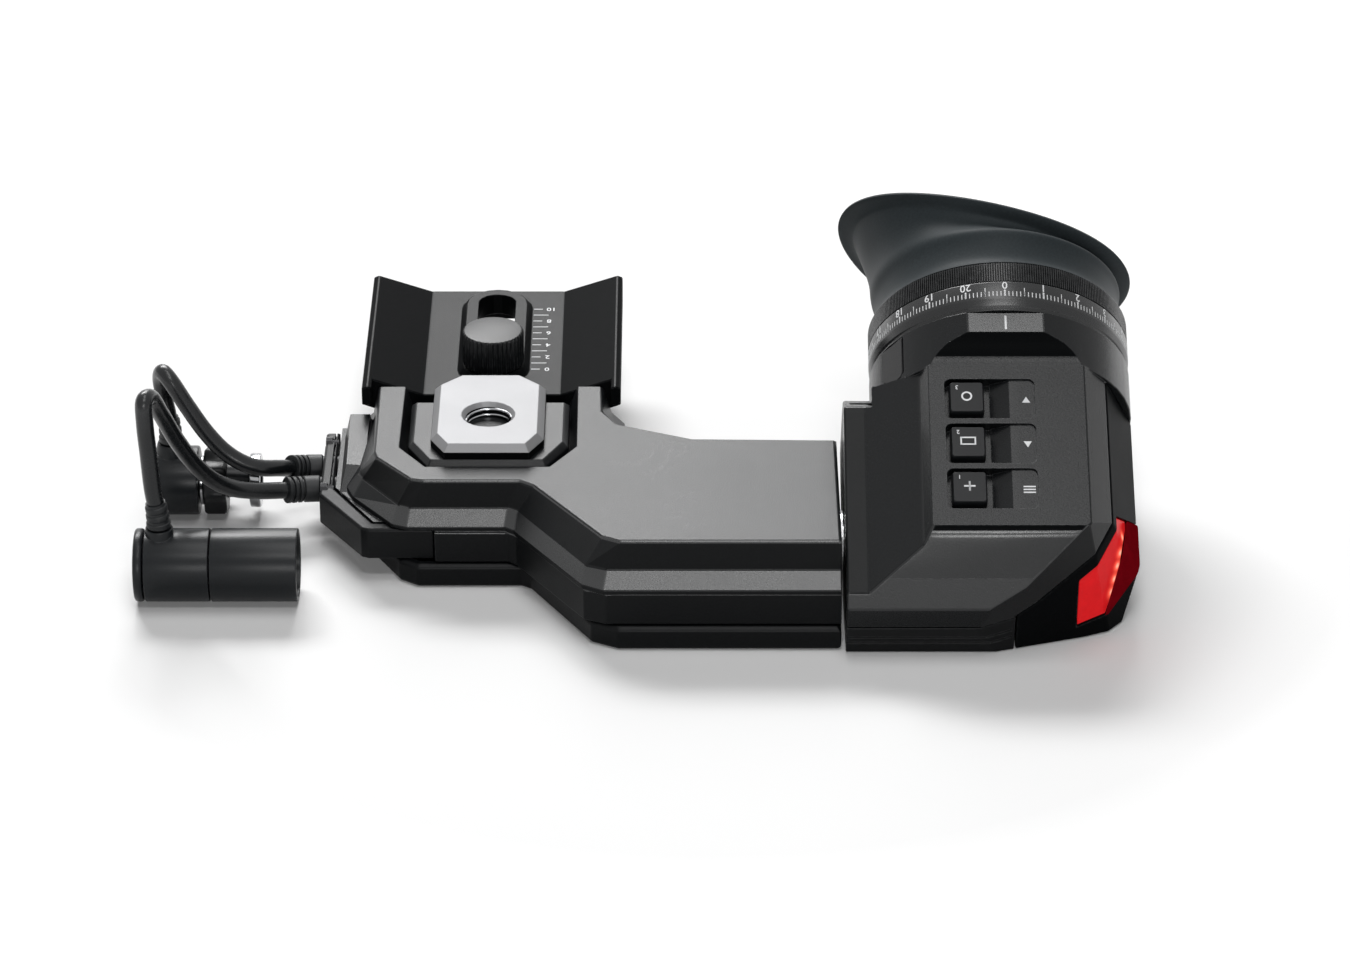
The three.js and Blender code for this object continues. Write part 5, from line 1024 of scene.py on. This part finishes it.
# %% Bracket scale
FLAT = 25.4
PRINT = 0.04
PITCH = 3.59
FIRST_Y = 106.2
TICKS = 11
SHORT_TICK, LONG_TICK, TICK_WIDTH = 2.4, 4.1, 0.3
TICK_X, NUMBER_X, TWO_FIGURES = 10.1, 14.4, 0.5
marks = []
for k in range(TICKS):
    numbered = k % 2 == 0
    length = SHORT_TICK if numbered else LONG_TICK
    y = FIRST_Y + k * PITCH
    tick_middle = (CLAMP_X + TICK_X + length / 2, y, FLAT)
    marks.append(placed(slab(length, TICK_WIDTH, PRINT), Matrix.Translation(tick_middle)))
    if numbered:
        number = placed(figure(str(k), 1.9, PRINT), Matrix.Rotation(math.pi, 4, "Z"))
        x = CLAMP_X + NUMBER_X + (TWO_FIGURES if k > 9 else 0)
        marks.append(placed(number, Matrix.Translation((x, y, FLAT + PRINT / 2))))
scale = gathered("bracket_scale", marks, white_print)
scale.data.transform(ARM)
detail_on(scale, "arm", "rear_bracket")

# %% Thumb screw
THUMB_LOW, THUMB_TOP = 27.7, 37.3
FLUTES = 40


def fluted_head(sides_per_flute=6):
    """The thumb screw's head: a waved rim between eased edges, and its flat top."""
    rows = [(THUMB_LOW, 7.9, 0.2), (THUMB_LOW + 0.35, 8.3, 0.45), (THUMB_TOP - 0.55, 8.3, 0.45),
            (THUMB_TOP - 0.25, 8.05, 0.3), (THUMB_TOP - 0.05, 7.7, 0), (THUMB_TOP, 7.5, 0)]
    bm = bmesh.new()
    rings = []
    for z, radius, depth in rows:
        rim = waved(radius, depth, FLUTES, FLUTES * sides_per_flute, 0.6)
        rings.append([bm.verts.new((r * math.cos(a), r * math.sin(a), z)) for r, a in rim])
    rings = [[bm.verts.new((0, 0, THUMB_LOW))], *rings, [bm.verts.new((0, 0, THUMB_TOP))]]
    return bridged(bm, rings)


shank = turned(eased(rod(3, 11.6, 28), 0.4), 48)
thumb = gathered("thumb_knob", [
    placed(fluted_head(), ARM @ Matrix.Translation((CLAMP_X, FIRST_Y, 0))),
    placed(shank, about(ARM, (CLAMP_X, FIRST_Y, 0), "Z")),
], coat, 24)
stands_for(thumb, "thumb_screw", "thumb_screw")

# %% [markdown]
# ## The head's shells
#
# The head is cut by broad flat faces that meet in crisp, slightly rounded corners. Softened
# copies of the two shells and the side cover keep the seams between them. A low brow with a fine
# groove rolls over the top of the front slope, and the index line on the top facet is a thin
# printed bar. The brow's groove, the scoop and the left strip are painted darker as shade, and the
# brow's crest, the slope and the top facet glossier as highlight. The points that crowd at one
# corner of the upper shell are welded first, so that its edges can be rounded, and the back of the
# top facet is lowered a little.

# %% Head shells
PLATE_NORMAL = Vector((0, -math.sin(TILT), math.cos(TILT)))
FACET_Y, FACET_Z, FACET_DROP = -3.4, 32.6, 0.45
CROWDED_CORNER = Vector((62.2, 1.45, 35.75))
CROWDED_WITHIN, CORNER_WELD = 0.6, 0.5
SLOPE_AREA = 2e-5
FACET_HALF, FACET_FROM, FACET_TO = 9.6, -6.3, 0
SCOOP_HALF, SCOOP_FROM, SCOOP_TO = 12, -11.4, -6.2
STRIP_TO = -20
COATED, SCOOP, FACET, STRIP, SLOPE = range(5)


def level_with_plate(face):
    return face.normal.dot(PLATE_NORMAL) > 0.999


def on_slope(face):
    return face.normal.y < -0.94 and 0.25 < face.normal.z < 0.35 and face.calc_area() > SLOPE_AREA


bm = merged_copy("head_upper_shell")
corner = (JOINT_END + CROWDED_CORNER) * MM
crowded = [v for v in bm.verts if (v.co - corner).length < CROWDED_WITHIN * MM]
bmesh.ops.remove_doubles(bm, verts=crowded, dist=CORNER_WELD * MM)

facet_middle = HEAD @ Vector((0, FACET_Y, FACET_Z))
facet = min((f for f in bm.faces if level_with_plate(f)),
            key=lambda f: (f.calc_center_median() - facet_middle).length)
spots = {v: HEAD.inverted() @ v.co for v in facet.verts}
facet_front, facet_back = min(p.y for p in spots.values()), max(p.y for p in spots.values())
for vert, spot in spots.items():
    if spot.y > facet_back - 0.3:
        vert.co -= PLATE_NORMAL * FACET_DROP * MM
print("index facet from", round(facet_front, 2), "to", round(facet_back, 2))

# %% Painted shade and highlight on the upper shell's faces
slope = max((f for f in bm.faces if on_slope(f)), key=lambda f: f.calc_area())
slope_corners = [v.co.copy() for v in slope.verts]
slope_normal = slope.normal.copy()
# Painted highlight and shade by face: the index facet and the front slope take glossier copies of the coat,
# and the strip at the left and the scoop under the facet take the duller satins.
for face in bm.faces:
    spot = HEAD.inverted() @ face.calc_center_median()
    lean = (HEAD.to_3x3().inverted() @ face.normal).normalized()
    face.material_index = COATED
    if abs(spot.x) < FACET_HALF and FACET_FROM < spot.y < FACET_TO and lean.z > 0.96:
        face.material_index = FACET
    elif spot.x < STRIP_TO and lean.z > 0.99:
        face.material_index = STRIP
    elif face == slope:
        face.material_index = SLOPE
    elif abs(spot.x) < SCOOP_HALF and SCOOP_FROM < spot.y < SCOOP_TO and lean.y < -0.4:
        face.material_index = SCOOP
upper = rounded("head_upper_shell_dressed", bm, head_coat, 0.6)
for material in (deep_satin_and_shade, highlight_coat, satin_and_shade, slope_highlight_coat):
    upper.data.materials.append(material)
stands_for(upper, "head", "head_upper_shell")

# %% Rolled brow of the slope
BROW = [(0.1, 0.03), (0.7, 0.03), (1.5, 0.03), (1.75, 0.14), (2.0, 0.3), (2.3, 0.43), (2.7, 0.52),
        (3.2, 0.56), (4.2, 0.57), (6, 0.52), (8, 0.42), (10, 0.3), (12, 0.16), (14, 0.04)]
BROW_STOPS = ((0.015, 0.6), (0.06, 1), (0.5, 1), (0.94, 1), (0.985, 0.6))
BROW_SUNK = 0.2
GROOVE_TO, BRIGHT_TO = 1.6, 3.4
down = slope_normal.cross(Vector((1, 0, 0))).normalized()
down = down if down.z < 0 else -down
brow_top = min(c.dot(down) for c in slope_corners)


def slope_span(far):
    """The slope's left and right ends at a distance in millimetres below its top edge."""
    level, ends = brow_top + far * MM, []
    for a, b in zip(slope_corners, slope_corners[1:] + slope_corners[:1]):
        low, high = a.dot(down), b.dot(down)
        if (low - level) * (high - level) < 0:
            ends.append((a + (b - a) * (level - low) / (high - low)))
    return min(ends, key=lambda p: p.x), max(ends, key=lambda p: p.x)


bm = bmesh.new()
rows = []
for far, lift in BROW:
    left, right = slope_span(far)
    inner = [(left.lerp(right, t), lift * share) for t, share in BROW_STOPS]
    rows.append([bm.verts.new(p + slope_normal * MM * up) for p, up in inner])
    rows[-1] += [bm.verts.new(p - slope_normal * MM * BROW_SUNK) for p, _ in reversed(inner)]
capped(bm, rows)
# Painted shade and highlight: the low groove at the top of the brow takes the duller satin, the crest below
# it a glossier copy of the coat, and the rest the slope's glossier coat.
for face in bm.faces:
    far = (face.calc_center_median().dot(down) - brow_top) / MM
    face.material_index = 1 if far < GROOVE_TO else 2 if far < BRIGHT_TO else 0
brow = to_object("slope_brow", bm, slope_highlight_coat, 50)
brow.data.materials.append(deep_satin_and_shade)
brow.data.materials.append(highlight_coat)
detail_on(brow, "head", "head_upper_shell")

# %% Lower shell, side cover and sensor window
softened("head_lower_shell", "head", satin_and_shade, 0.3)
softened("head_side_cover", "head", deep_satin_and_shade, 0.6)
softened("sensor_window", "head", smoked, 0.2)


# %% Index line
def on_head(place, turn=0.0):
    """The matrix that sets a flat mark on the head, its face up, turned about the head's Z."""
    return HEAD @ Matrix.Translation(place) @ Matrix.Rotation(turn, 4, "Z")


facet_run = facet_back - facet_front
line_level = FACET_Z - FACET_DROP * (FACET_Y - facet_front) / facet_run
line_lean = Matrix.Rotation(-math.atan2(FACET_DROP, facet_run), 4, "X")
line_bar = placed(slab(0.55, 4.4, PRINT), on_head((0, FACET_Y, line_level)) @ line_lean)
detail_on(gathered("index_line", [line_bar], white_print), "head", "head_upper_shell")

# %% [markdown]
# ## Keys and pad marks
#
# Each key stands at the low end of a sunken pad and moves on a body of its own. It carries a
# plain number and a simple mark, a ring, a frame or a cross, and the pads carry two triangles and
# three bars. All of them are thin plates of paint, so that they have an edge of their own, and
# all are upside down to the camera, because they face the person who looks through the eyecup.

# %% Keys
KEY_X, KEY_TOP = -10.4, 28.8
PAD_YS = (-50.5, -37.1, -23.7)
FACING = math.pi


def frame_mark(width, depth, line):
    """A bmesh of a thin rectangular frame."""
    bars = [((width, line), (0, depth / 2)), ((width, line), (0, -depth / 2)),
            ((line, depth + line), (width / 2, 0)), ((line, depth + line), (-width / 2, 0))]
    return merged(placed(slab(*size, PRINT), Matrix.Translation((*spot, 0))) for size, spot in bars)


def key_mark(kind):
    """A key's mark: a cross, a frame or a ring."""
    if kind == 0:
        return merged([frame_mark(0.02, 2.4, 0.42), slab(2.9, 0.44, PRINT)])
    if kind == 1:
        return frame_mark(3.6, 2.0, 0.38)
    return placed(turned(band(0.95, 1.4, 0, PRINT), 36, closed=True), Matrix.Rotation(math.pi / 2, 4, "X"))


for k, y in enumerate(PAD_YS):
    node = f"key_{k + 1}"
    cap_obj = rounded(node + "_cap", merged_copy(node), key_paint, 0.45, sharp=30)
    mark = key_mark(k)
    prints = [
        placed(mark, on_head((KEY_X, y + 0.2, KEY_TOP), FACING)),
        placed(figure(str(k + 1), 1.15, PRINT), on_head((KEY_X - 2.5, y + 2.9, KEY_TOP + PRINT / 2), FACING)),
    ]
    label = gathered(node + "_label", prints, white_print)
    stands_for(joined(node + "_cap", cap_obj, label), node, node)


# %% [markdown]
# ## Pad shelves
#
# The right half of each pad is a shelf just under the plate, and a steep slope leads from it down
# to the key. One shelf is drawn as a rounded outline whose top follows that profile, and the row
# tree sets three of them along the head.

# %% Pad shelves and marks
PAD_DEEP, PAD_RIGHT, PAD_ROUND, PAD_GAP = 11.8, 7.0, 2.0, 0.03
SHELF_FOOT, SHELF_TOP = 25.2, 27.4
SHELF = [(-4.4, 25.32), (-4.1, 25.45), (0.1, 27.2), (0.6, SHELF_TOP), (PAD_RIGHT, SHELF_TOP)]


def shelf_level(x):
    """The height of a shelf's top at a place along X."""
    for (x0, z0), (x1, z1) in zip(SHELF, SHELF[1:]):
        if x <= x1:
            return z0 + (z1 - z0) * (x - x0) / (x1 - x0)
    return SHELF[-1][1]


def shelf_block():
    """A shelf as strips across X, each with its own width at the rounded right corners."""
    rounding = [PAD_RIGHT - PAD_ROUND * (1 - math.sin(math.pi / 2 * k / 6)) for k in range(7)]
    bm = bmesh.new()
    rows = []
    for x in [-4.4, -4.1, 0.1, 0.35, 0.6, 3, *rounding]:
        into = max(0, x - (PAD_RIGHT - PAD_ROUND))
        half = PAD_DEEP / 2 - PAD_GAP - (PAD_ROUND - math.sqrt(max(PAD_ROUND**2 - into**2, 0)))
        corners = ((-half, SHELF_FOOT), (half, SHELF_FOOT), (half, shelf_level(x)), (-half, shelf_level(x)))
        rows.append([bm.verts.new((x, y, z)) for y, z in corners])
    return capped(bm, rows)


PAD_MARK_X = 4.8
first_pad = HEAD @ Matrix.Translation((0, PAD_YS[0], 0))
shelves = repeated("pad_shelf_row", shelf_block(), row_tree, head_coat, first_pad,
                   Count=3, Offset=(0, PAD_YS[1] - PAD_YS[0], 0))
kept_flat(shelves)


def triangle(width, depth):
    return solid_outline([(-width / 2, -depth / 2), (width / 2, -depth / 2), (0, depth / 2)], PRINT)


bar = placed(slab(3.1, 0.4, PRINT), Matrix.Translation((0, -0.85, 0)))
bars = repeated("pad_bars", bar, row_tree, white_print, on_head((PAD_MARK_X, PAD_YS[0], SHELF_TOP)),
                Count=3, Offset=(0, 0.85, 0))
arrows = gathered("pad_arrows", [
    placed(triangle(2.1, 1.8), on_head((PAD_MARK_X, PAD_YS[1], SHELF_TOP), FACING)),
    placed(triangle(2.1, 1.8), on_head((PAD_MARK_X, PAD_YS[2], SHELF_TOP))),
], white_print)
for piece in (shelves, joined("pad_marks", arrows, bars)):
    detail_on(piece, "head", "head_upper_shell")

# %% [markdown]
# ## Focus ring
#
# A black anodised ring with a numbered dial in front and a fine knurl behind. The knurl's 340 low
# ribs and the dial's ticks are set round the axis by the ring tree. The figures 0 to 20 are bent
# round the dial, with 0 at the index line.

# %% Focus ring
RING = 34.0
KNURL_FROM, KNURL_LENGTH, RIB_WIDTH, RIB_HEIGHT = 8.4, 5.5, 0.33, 0.56
TICK_FROM, TICK_SUNK = 3.7, 0.03
core = tube([(30.3, 0), (32.9, 0), (33.2, 0.8), (33.5, 1.0), (34, 2.9), (34, 8.1), (33.45, 8.25),
             (33.45, 13.95), (33.1, 14.3), (30.3, 14.3)], 0.25, 240)
ring = to_object("focus_ring_core", placed(core, HEAD), anodised, 30)


def rib(width, length, height):
    """A low rib with a rounded top, along Y, standing on the radius at z = RING."""
    half = width / 2
    section = [(-half, 0), (-half * 0.9, height * 0.8), (-half * 0.6, height),
               (half * 0.6, height), (half * 0.9, height * 0.8), (half, 0)]
    bm = bmesh.new()
    ends = [[bm.verts.new((x, y, RING - RIB_HEIGHT + z)) for x, z in section] for y in (0, length)]
    return capped(bm, ends)


floor_ring = turned(band(33.3, 33.46, 8.26, 13.94), 240, closed=True)
groove = to_object("knurl_floor", placed(floor_ring, HEAD), satin_and_shade)
RIBS = 340
knurl_rib = placed(rib(RIB_WIDTH, KNURL_LENGTH, RIB_HEIGHT), Matrix.Translation((0, KNURL_FROM, 0)))
knurl = repeated("knurl", knurl_rib, ring_tree, anodised, HEAD, Count=RIBS, Step=2 * math.pi / RIBS)

NUMBERS = 21
STEP = 2 * math.pi / NUMBERS


def tick(width, length):
    """A bar of the dial, sunk a little into the ring so that it leaves no gap."""
    return placed(slab(width, length, PRINT + TICK_SUNK),
                  Matrix.Translation((0, TICK_FROM + length / 2, RING - TICK_SUNK)))


minor = repeated("minor_ticks", tick(0.2, 1.45), ring_tree, white_print, HEAD,
                 Count=NUMBERS * 10, Step=STEP / 10)
middle = repeated("middle_ticks", tick(0.2, 2.6), ring_tree, white_print, HEAD,
                  Count=NUMBERS, Step=STEP, First=STEP / 2)
major = repeated("major_ticks", tick(0.42, 1.9), ring_tree, white_print, HEAD, Count=NUMBERS, Step=STEP)


def wrapped(bm, angle, middle_y):
    """A flat figure bent round the dial at an angle, its top towards the front."""
    for vert in bm.verts:
        turn = angle - vert.co.x / RING
        radius = RING + vert.co.z + PRINT / 2
        vert.co = (radius * math.sin(turn), middle_y - vert.co.y, radius * math.cos(turn))
    return placed(bm, HEAD)


numbers = [wrapped(figure(str(n), 2.1, PRINT), n * STEP, 7.02) for n in range(NUMBERS)]
figures = gathered("dial_figures", numbers, white_print)
whole_ring = joined("focus_ring_dressed", ring, groove, knurl, minor, middle, major, figures)
stands_for(whole_ring, "focus_ring", "focus_ring")

# %% [markdown]
# ## Eyecup
#
# A soft moulded cup: a band over its ring, a shoulder, a narrower neck and a lip that sweeps far
# out on the temple side. The CAD stations give its rings as shares of its size. Here they are
# drawn with more points and smoothed by subdivision, which rounds the lip as rubber is.

# %% Eyecup
CUP_RADIUS, CUP_BASE, CUP_REACH, CUP_SHIFT = 33.2, 14.7, 33.5, -2.8
CUP_OUTER = [
    (1.000, 1.000, 0.0, 0.000, 0.00, 0.00), (0.970, 0.970, 0.0, 0.045, 0.00, 0.00),
    (0.958, 0.958, 0.0, 0.130, 0.00, 0.00), (0.965, 0.962, 0.0, 0.240, 0.00, 0.00),
    (0.990, 0.978, 0.0, 0.300, 0.01, 0.00), (0.992, 0.965, 0.1, 0.340, 0.03, 0.00),
    (0.975, 0.925, 0.3, 0.390, 0.07, 0.02), (0.965, 0.870, 0.7, 0.470, 0.13, 0.06),
    (0.985, 0.835, 1.1, 0.560, 0.20, 0.10), (1.030, 0.838, 1.1, 0.648, 0.255, 0.125),
    (1.040, 0.846, 1.1, 0.662, 0.262, 0.125), (1.100, 0.885, 1.0, 0.682, 0.28, 0.125),
    (1.150, 0.922, 1.0, 0.700, 0.285, 0.120), (1.162, 0.933, 1.0, 0.712, 0.286, 0.120),
]
CUP_INNER = [
    (1.150, 0.922, 1.0, 0.735, 0.285, 0.120), (1.090, 0.865, 1.0, 0.722, 0.28, 0.122),
    (1.020, 0.805, 1.1, 0.675, 0.255, 0.125), (0.935, 0.775, 1.0, 0.590, 0.20, 0.10),
    (0.895, 0.800, 0.7, 0.480, 0.12, 0.05), (0.880, 0.830, 0.3, 0.380, 0.05, 0.01),
    (0.860, 0.860, 0.0, 0.290, 0.00, 0.00), (0.790, 0.790, 0.0, 0.262, 0.00, 0.00),
    (0.740, 0.740, 0.0, 0.225, 0.00, 0.00), (0.740, 0.740, 0.0, 0.195, 0.00, 0.00),
    (0.950, 0.950, 0.0, 0.195, 0.00, 0.00), (0.950, 0.950, 0.0, 0.000, 0.00, 0.00),
]
CUP_SIDES = 72


def cup_ring(bm, station):
    """One ring of the cup: its shares of width, height, shift, rise, tilt and dip."""
    wide, tall, shift, rise, tilt, dip = station
    ring = []
    for k in range(CUP_SIDES):
        a = 2 * math.pi * k / CUP_SIDES
        height = rise - tilt * math.cos(a) - dip * math.sin(a) ** 2
        ring.append(bm.verts.new((CUP_SHIFT * shift + CUP_RADIUS * wide * math.cos(a),
                                  CUP_BASE + CUP_REACH * height, CUP_RADIUS * tall * math.sin(a))))
    return ring


bm = bmesh.new()
cup_rings = [cup_ring(bm, station) for station in CUP_OUTER + CUP_INNER]
bridged(bm, cup_rings, closed=True)
crease = bm.edges.layers.float.new("crease_edge")
INSIDE = len(CUP_OUTER)
CREASES = ((0, 0.85), (9, 0.6), (INSIDE - 1, 0.45), (INSIDE, 0.45), (INSIDE + 9, 0.85), (INSIDE + 10, 0.85),
           (INSIDE + 11, 0.85))
for index, sharpness in CREASES:
    ring = set(cup_rings[index])
    for edge in bm.edges:
        if edge.verts[0] in ring and edge.verts[1] in ring:
            edge[crease] = sharpness
cup = to_object("soft_eyecup", placed(bm, HEAD), rubber, 60)
smooth = cup.modifiers.new("smooth", "SUBSURF")
smooth.levels = smooth.render_levels = 2
settled(cup)
stands_for(cup, "eyecup", "eyecup")

eye_ring = tube(band(30.35, 31.2, 14.6, 20.4), 0.2, 160)
set_on("eyecup_clamp_ring", eye_ring, HEAD, anodised, "eyecup", "eyecup_ring")

# %% [markdown]
# ## Optics
#
# The lens sleeve, cell and retainer are black turned parts, and fine grooves in the sleeve kill
# stray light. The lenses are glass with a faint coating, so the dark display behind them shows.
# Glass keeps a plain transmission and takes no grain.

# %% Lenses and barrel
glass, add, place = new_material("coated_glass")
handled = add("ShaderNodeGroup", {"Place": place, "Rough": 0.02, "Spread": 0.015}, node_tree=patches)
shader = add("ShaderNodeBsdfPrincipled", {"Base Color": (0.82, 0.9, 1.0, 1), "Roughness": handled.outputs[0],
                                          "Transmission Weight": 1.0, "IOR": 1.45, "Coat Weight": 0.3})
add("ShaderNodeOutputMaterial", {"Surface": shader.outputs[0]})

LENS = 20.8
EYE_FRONT, EYE_THICK, EYE_BULGE = 10.5, 3.4, 2.4
LENSES = (("field_lens", -3.1, 2.6, 0.8), ("middle_lens", 2.2, 4, 1.4),
          ("eye_lens", EYE_FRONT, EYE_THICK, EYE_BULGE))


def lens_shape(front, thick, bulge, steps=16):
    """A round lens with two bulging faces and a thin cylindrical edge."""
    swells = [bulge * (1 - (k / steps) ** 2) for k in range(steps + 1)]
    face = [(LENS * k / steps, front - swells[k]) for k in range(steps + 1)]
    back = [(LENS * k / steps, front + thick + swells[k]) for k in range(steps, -1, -1)]
    return turned(face + back, 96)


for node, front, thick, bulge in LENSES:
    set_on(node + "_glass", lens_shape(front, thick, bulge), HEAD, glass, "lens_cell", node, smooth=40)


def grooved(outer, inner, start, end, grooves, depth):
    """A tube about Y whose bore has fine square grooves."""
    profile = [(inner, start), (outer, start), (outer, end), (inner, end)]
    pitch = (end - start) / (grooves + 1)
    for k in range(grooves, 0, -1):
        y = start + k * pitch
        low, high = y - pitch * 0.25, y + pitch * 0.25
        profile += [(inner, high), (inner + depth, high), (inner + depth, low), (inner, low)]
    return turned(profile, 120, closed=True)


set_on("lens_barrel", grooved(30, 27.4, -8.45, 20, 8, 0.25), HEAD, anodised, "head", "lens_sleeve")
LOCK_BORE = 18.6
swell = EYE_BULGE * (1 - (LOCK_BORE / LENS) ** 2)
hold = EYE_FRONT + EYE_THICK + swell + 0.3
lock_ring = tube([(LOCK_BORE, hold), (20.9, hold), (20.9, hold + 2.4), (19.6, hold + 2.4),
                  (LOCK_BORE, hold + 1.2)], 0.15, 120)
set_on("lens_lock_ring", lock_ring, HEAD, anodised, "lens_cell", "lens_retainer")
cell = tube([(19.6, -5), (26.9, -5), (26.9, 17.4), (21.2, 17.4), (21.2, -3.4), (19.6, -3.4)], 0.3, 120)
set_on("lens_cell_body", cell, HEAD, anodised, "lens_cell", "lens_cell")

# %% [markdown]
# ## Front lamp
#
# The lamp has a dark red outer lens and a bright inner window with five small lamps glowing
# behind its edge. The window is cut into a fine grid, and each point keeps in an attribute how
# near it is to a lamp. The finish turns that attribute into glow, so no image is needed.

# %% Red lens finishes
def red_lens(name, colour, glow_colour, base_glow, attribute=None):
    """A glossy red plastic that glows, evenly or by an attribute of its mesh."""
    material, add, place = new_material(name)
    grains = add("ShaderNodeGroup", {"Place": place, "Scale": 260, "Tone Spread": 0.18}, node_tree=grain)
    tone = grains.outputs["Tone"]
    inputs = {"Base Color": scaled(add, colour, tone), "Roughness": 0.3,
              "Specular IOR Level": 0.04 if attribute else 0.0}
    if attribute:
        near = add("ShaderNodeAttribute", attribute_name=attribute)
        ramp = add("ShaderNodeValToRGB", {"Fac": near.outputs["Fac"]})
        ramp.color_ramp.elements[0].color = tuple(c * base_glow for c in glow_colour) + (1,)
        ramp.color_ramp.elements[1].color = (1.0, 0.62, 0.42, 1)
        warm = ramp.color_ramp.elements.new(0.55)
        warm.color = (1.0, 0.13, 0.08, 1)
        inputs["Emission Color"] = ramp.outputs[0]
    else:
        inputs["Emission Color"] = scaled(add, glow_colour, tone)
    inputs["Emission Strength"] = 1.0 if attribute else base_glow
    shader = add("ShaderNodeBsdfPrincipled", inputs)
    add("ShaderNodeOutputMaterial", {"Surface": shader.outputs[0]})
    return material


lens_red = red_lens("dark_red_lens", (0.085, 0.001, 0.003), (0.3, 0.003, 0.01), 0.2)
window_red = red_lens("lit_red_window", (0.35, 0.006, 0.008), (0.5, 0.01, 0.012), 0.8, "lamp_near")
print("red finishes", lens_red.name, window_red.name)

# %% Front lamp
softened("tally_lens", "head", lens_red, 1.4, segments=5, sharp=20)
bm = merged_copy("tally_window")
bmesh.ops.triangulate(bm, faces=bm.faces)
WINDOW_GRID, WINDOW_CUTS = 0.9, 4
for _ in range(WINDOW_CUTS):
    long_edges = [e for e in bm.edges if e.calc_length() > WINDOW_GRID * MM]
    if long_edges:
        bmesh.ops.subdivide_edges(bm, edges=long_edges, cuts=1)
        bmesh.ops.triangulate(bm, faces=bm.faces)
window_obj = to_object("tally_window_lit", bm, window_red)
LAMPS = [(105.6, -58.7, 24.2), (105.1, -60.6, 20.9), (104.5, -61.6, 17.6), (103.9, -62.6, 14.3),
         (103.2, -63.6, 11.0)]
REACH = 1.35


def lamp_nearness(point):
    """How near a point of the window is to a lamp, 1 at the lamp itself."""
    return max(math.exp(-((point - Vector(p) * MM).length / (REACH * MM)) ** 2) for p in LAMPS)


near = window_obj.data.attributes.new("lamp_near", "FLOAT", "POINT")
values = [lamp_nearness(v.co) for v in window_obj.data.vertices]
near.data.foreach_set("value", values)
stands_for(window_obj, "head", "tally_window")
print("lamp glow, most", round(max(values), 2))

# %% [markdown]
# ## What is inside, and the joint
#
# The boards, the display, the joint's washers and four small screws are CAD nodes whose shapes
# are right. They keep their places and only take a finish, so every node still shown has one.

# %% Finishes of the kept nodes
KEPT = {
    "tilt_bush": bronze, "tilt_shaft": steel, "friction_washer": fibre, "spring_washer": steel,
    "shaft_nut": steel, "tally_board": board_green, "key_board": board_green, "main_board": board_green,
    "display_frame": anodised, "display_panel": screen_black, "end_screw_rear": black_screw,
    "end_screw_front": black_screw, "head_screw_1": black_screw, "head_screw_2": black_screw,
}
for node, material in KEPT.items():
    nodes[node].data.materials.clear()
    nodes[node].data.materials.append(material)
unpainted = [name for name, node in nodes.items() if not node.hide_render and node.data.materials[0] is None]
print("kept nodes", len(KEPT), "without a finish", unpainted)
